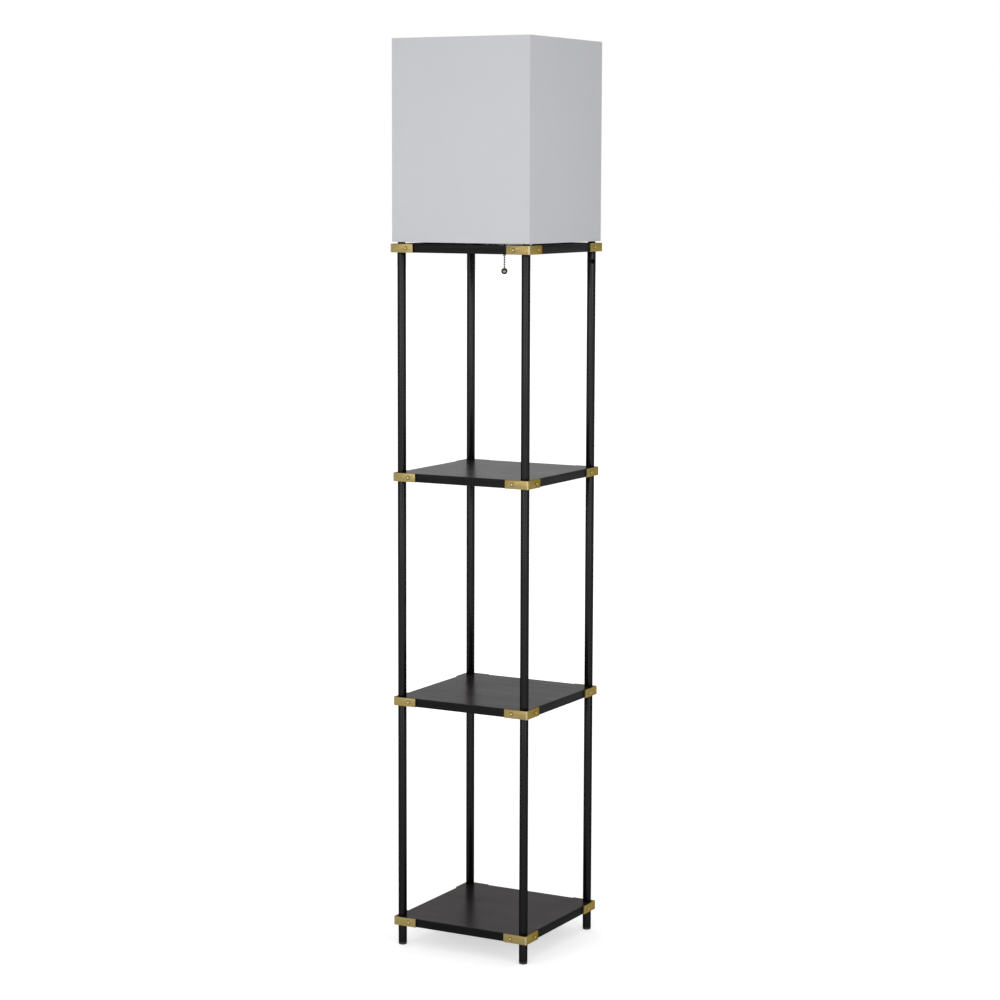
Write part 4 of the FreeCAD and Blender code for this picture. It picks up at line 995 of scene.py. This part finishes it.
class SHELFLAMP_OT_lampholder(Operator):
    """Build the crossbar, its screws, the lampholder and the bulb"""
    bl_idname = "shelf_lamp.lampholder"
    bl_label = "Lampholder"

    def pan_screws(self):
        """Pan-head screws with a cross recess, two in each ear and two up into the lampholder."""
        head, tall, shank, deep = 3.5 * MM, 2.2 * MM, 2.0 * MM, 10.0 * MM
        profile = [(0.0, -deep), (shank, -deep), (shank, 0.0), (head, 0.0), (head, tall), (0.0, tall)]
        bm = lathe(profile, 28, closed=False)
        soften(bm, 0.9 * MM, 4, lambda a, b: min(a.z, b.z) > tall - TINY)
        reach, half, floor, past = 1.7 * MM, 0.35 * MM, 0.9 * MM, 3.0 * MM
        arm, other = (block((-reach, -half, floor), (reach, half, past)) for _ in range(2))
        moved(other, Matrix.Rotation(math.pi / 2, 4, "Z"))
        bm = carved(bm, carved(arm, other, "UNION"))
        low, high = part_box("crossbar")
        strap, apart, holder_screw = 2.0 * MM, 5.0 * MM, 11.0 * MM
        ear, level = high.y - strap, (low.z + high.z - strap) / 2
        places = [at(x * apart, y * ear, level) @ Matrix.Rotation(y * math.pi / 2, 4, "X")
                  for y in (-1, 1) for x in (-1, 1)]
        places += [at(0.0, y * holder_screw, high.z - strap) @ Matrix.Rotation(math.pi, 4, "X")
                   for y in (-1, 1)]
        piece("crossbar_screws", gathered(bm, places), "zinc_steel")

    def waved(self, outer, inner, foot, head, crests):
        """Points (radius, height) of a rolled thread's outside."""
        steps = crests * 8
        middle, depth = (outer + inner) / 2, (outer - inner) / 2
        return [(middle - depth * math.cos(math.tau * step / 8), foot + (head - foot) * step / steps)
                for step in range(steps + 1)]

    def bulb(self):
        foot, tall, outer = upright("bulb_base")
        thread = self.waved(outer, outer - 0.9 * MM, 6.0 * MM, tall - 3.0 * MM, 5)
        profile = [(0.0, 0.0), (4.0 * MM, 0.0), (5.0 * MM, 2.0 * MM), (outer - 1.0 * MM, 5.0 * MM)] + thread
        profile += [(outer - 0.4 * MM, tall - 2.0 * MM), (outer, tall - 1.0 * MM), (outer, tall), (0.0, tall)]
        bm = lathe(profile, 40, closed=False)
        for face in bm.faces:
            height = face.calc_center_median().z
            face.material_index = 1 if 0.1 * MM < height < 5.0 * MM else 0
        piece("bulb_base", moved(bm, at(0, 0, foot)), "bulb_metal", "bulb_metal", "black_holder")
        foot, tall, ball = upright("bulb_glass")
        neck, straight, flare, widened, wall, meet = 13.0 * MM, 5.0 * MM, 8.0 * MM, 0.8 * MM, 1.0 * MM, 117.5
        outside = [(neck, 0.0), (neck, straight), (neck + widened, flare)]
        outside += arc(ball, tall - ball, meet, 0.0, 18)[:-1]
        inside = [(neck - wall, 0.0), (neck - wall, straight), (neck - wall + widened, flare)]
        inside += arc(ball - wall, tall - ball, meet, 0.0, 18)[:-1]
        bm = lathe([(0.0, tall - wall)] + inside[::-1] + outside + [(0.0, tall)], 56, closed=False)
        piece("bulb_glass", moved(bm, at(0, 0, foot)), "bulb_glass", sharp=50.0)

    def shell(self):
        foot, tall, outer = upright("screw_shell")
        wall, hole = 0.5 * MM, 8.0 * MM
        out = self.waved(outer, outer - 0.7 * MM, 2.0 * MM, tall - 2.0 * MM, 6)
        into = [(radius - wall, height) for radius, height in out]
        profile = [(hole, 0.0), (outer, 0.0)] + out + [(outer, tall), (outer - wall, tall)] + into[::-1]
        bm = lathe(profile + [(outer - wall, wall), (hole, wall)], 40)
        piece("screw_shell", moved(bm, at(0, 0, foot)), "shell_brass")

    def execute(self, context):
        eased("crossbar", 0.3 * MM, "zinc_steel")
        eased("socket_base", 0.5 * MM, "black_holder")
        eased("socket_body", 0.3 * MM, "black_holder")
        carried("switch_lever", "zinc_steel")
        self.pan_screws()
        self.bulb()
        self.shell()
        return {"FINISHED"}


class SHELFLAMP_OT_pull_chain(Operator):
    """Build the bead chain, its coupling and the brass ball"""
    bl_idname = "shelf_lamp.pull_chain"
    bl_label = "Pull chain"

    def bead(self, radius, hole):
        """A hollow-ended bead about the origin."""
        pole = math.degrees(math.asin(hole / radius))
        return lathe(arc(radius, 0.0, 180.0 - pole, pole, 10), 20)

    def string(self, node, heights, foot, head):
        spot = centre(node)
        beads = gathered(self.bead(BEAD_RADIUS, 0.5 * MM), [at(0, 0, height) for height in heights])
        wire = rod(WIRE_RADIUS, foot, head, 12)
        bm = moved(joined(beads, wire), at(spot.x, spot.y, 0.0))
        piece(node, bm, "dark_brass", "chain_brass", sharp=50.0)

    def strings(self):
        """Eleven beads and a stop bead above the coupling, six beads from it to the ball."""
        low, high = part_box("chain_upper")
        first, stop = low.z + BEAD_RADIUS, high.z - BEAD_RADIUS
        heights = [first + count * BEAD_PITCH for count in range(11)] + [stop]
        self.string("chain_upper", heights, first, stop)
        low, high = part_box("chain_lower")
        top = high.z - BEAD_RADIUS
        self.string("chain_lower", [top - count * BEAD_PITCH for count in range(6)], low.z, top)

    def coupling(self):
        """A sleeve with narrowed mouths and a slot where the beads go in."""
        foot, tall, _ = upright("chain_coupling")
        half, outer, bore, mouth, lip = tall / 2, 2.2 * MM, 1.8 * MM, 1.3 * MM, 0.35 * MM
        bm = lathe([(mouth, -half), (outer, -half), (outer, half), (mouth, half), (mouth, half - lip),
                    (bore, half - lip), (bore, lip - half), (mouth, lip - half)], 28)
        soften(bm, 0.4 * MM, 3, lambda a, b: min(a.xy.length, b.xy.length) > outer - 10 * TINY)
        breadth, solid_end = 0.55 * MM, 1.0 * MM
        bm = carved(bm, block((-breadth, 0.0, solid_end - half), (breadth, 3.0 * MM, half - solid_end)))
        moved(bm, at(*centre("chain_lower").xy, foot + half))
        piece("chain_coupling", bm, "dark_brass", "chain_brass")

    def ball(self):
        """A ball of two halves with a fine groove between them, bored for the chain's wire."""
        radius = upright("pull_ball")[1] / 2
        groove, bore_foot, sink = 0.12 * MM, 2.0 * MM, 0.02 * MM
        lower = arc(radius, 0.0, 180.0, 93.0, 14)[1:]
        upper = arc(radius, 0.0, 87.0, 5.0, 14)
        bore = [(WIRE_RADIUS, radius - sink), (WIRE_RADIUS, bore_foot), (0.0, bore_foot)]
        bm = lathe([(0.0, -radius)] + lower + [(radius - groove, 0.0)] + upper + bore, 40, closed=False)
        piece("pull_ball", moved(bm, Matrix.Translation(centre("pull_ball"))), "dark_brass", sharp=50.0)

    def execute(self, context):
        self.strings()
        self.coupling()
        self.ball()
        carried("cord_grommet", "black_rubber")
        return {"FINISHED"}


BUILD_STEPS = (
    SHELFLAMP_OT_stage,
    SHELFLAMP_OT_tubes,
    SHELFLAMP_OT_glides,
    SHELFLAMP_OT_shelves,
    SHELFLAMP_OT_top_frame,
    SHELFLAMP_OT_brackets,
    SHELFLAMP_OT_shade_mount,
    SHELFLAMP_OT_shade,
    SHELFLAMP_OT_lampholder,
    SHELFLAMP_OT_pull_chain,
)


class SHELFLAMP_PT_panel(Panel):
    """The lamp's sizes, colours and steps"""
    bl_idname = "SHELFLAMP_PT_panel"
    bl_label = "Shelf floor lamp"
    bl_space_type = "VIEW_3D"
    bl_region_type = "UI"
    bl_category = "Shelf lamp"

    def draw(self, context):
        for group in (context.scene.shelf_lamp_sizes, context.scene.shelf_lamp_colours):
            for name in group.__annotations__:
                self.layout.prop(group, name)
        for step in BUILD_STEPS:
            self.layout.operator(step.bl_idname)


CLASSES = (ShelfLampSizes, ShelfLampColours, *BUILD_STEPS, SHELFLAMP_PT_panel)


def register():
    for each in CLASSES:
        bpy.utils.register_class(each)
    bpy.types.Scene.shelf_lamp_sizes = PointerProperty(type=ShelfLampSizes)
    bpy.types.Scene.shelf_lamp_colours = PointerProperty(type=ShelfLampColours)


def unregister():
    del bpy.types.Scene.shelf_lamp_colours
    del bpy.types.Scene.shelf_lamp_sizes
    for each in reversed(CLASSES):
        bpy.utils.unregister_class(each)


def main():
    register()
    make_finishes()
    for step in BUILD_STEPS:
        group, name = step.bl_idname.split(".")
        getattr(getattr(bpy.ops, group), name)()


if __name__ == "__main__":
    main()
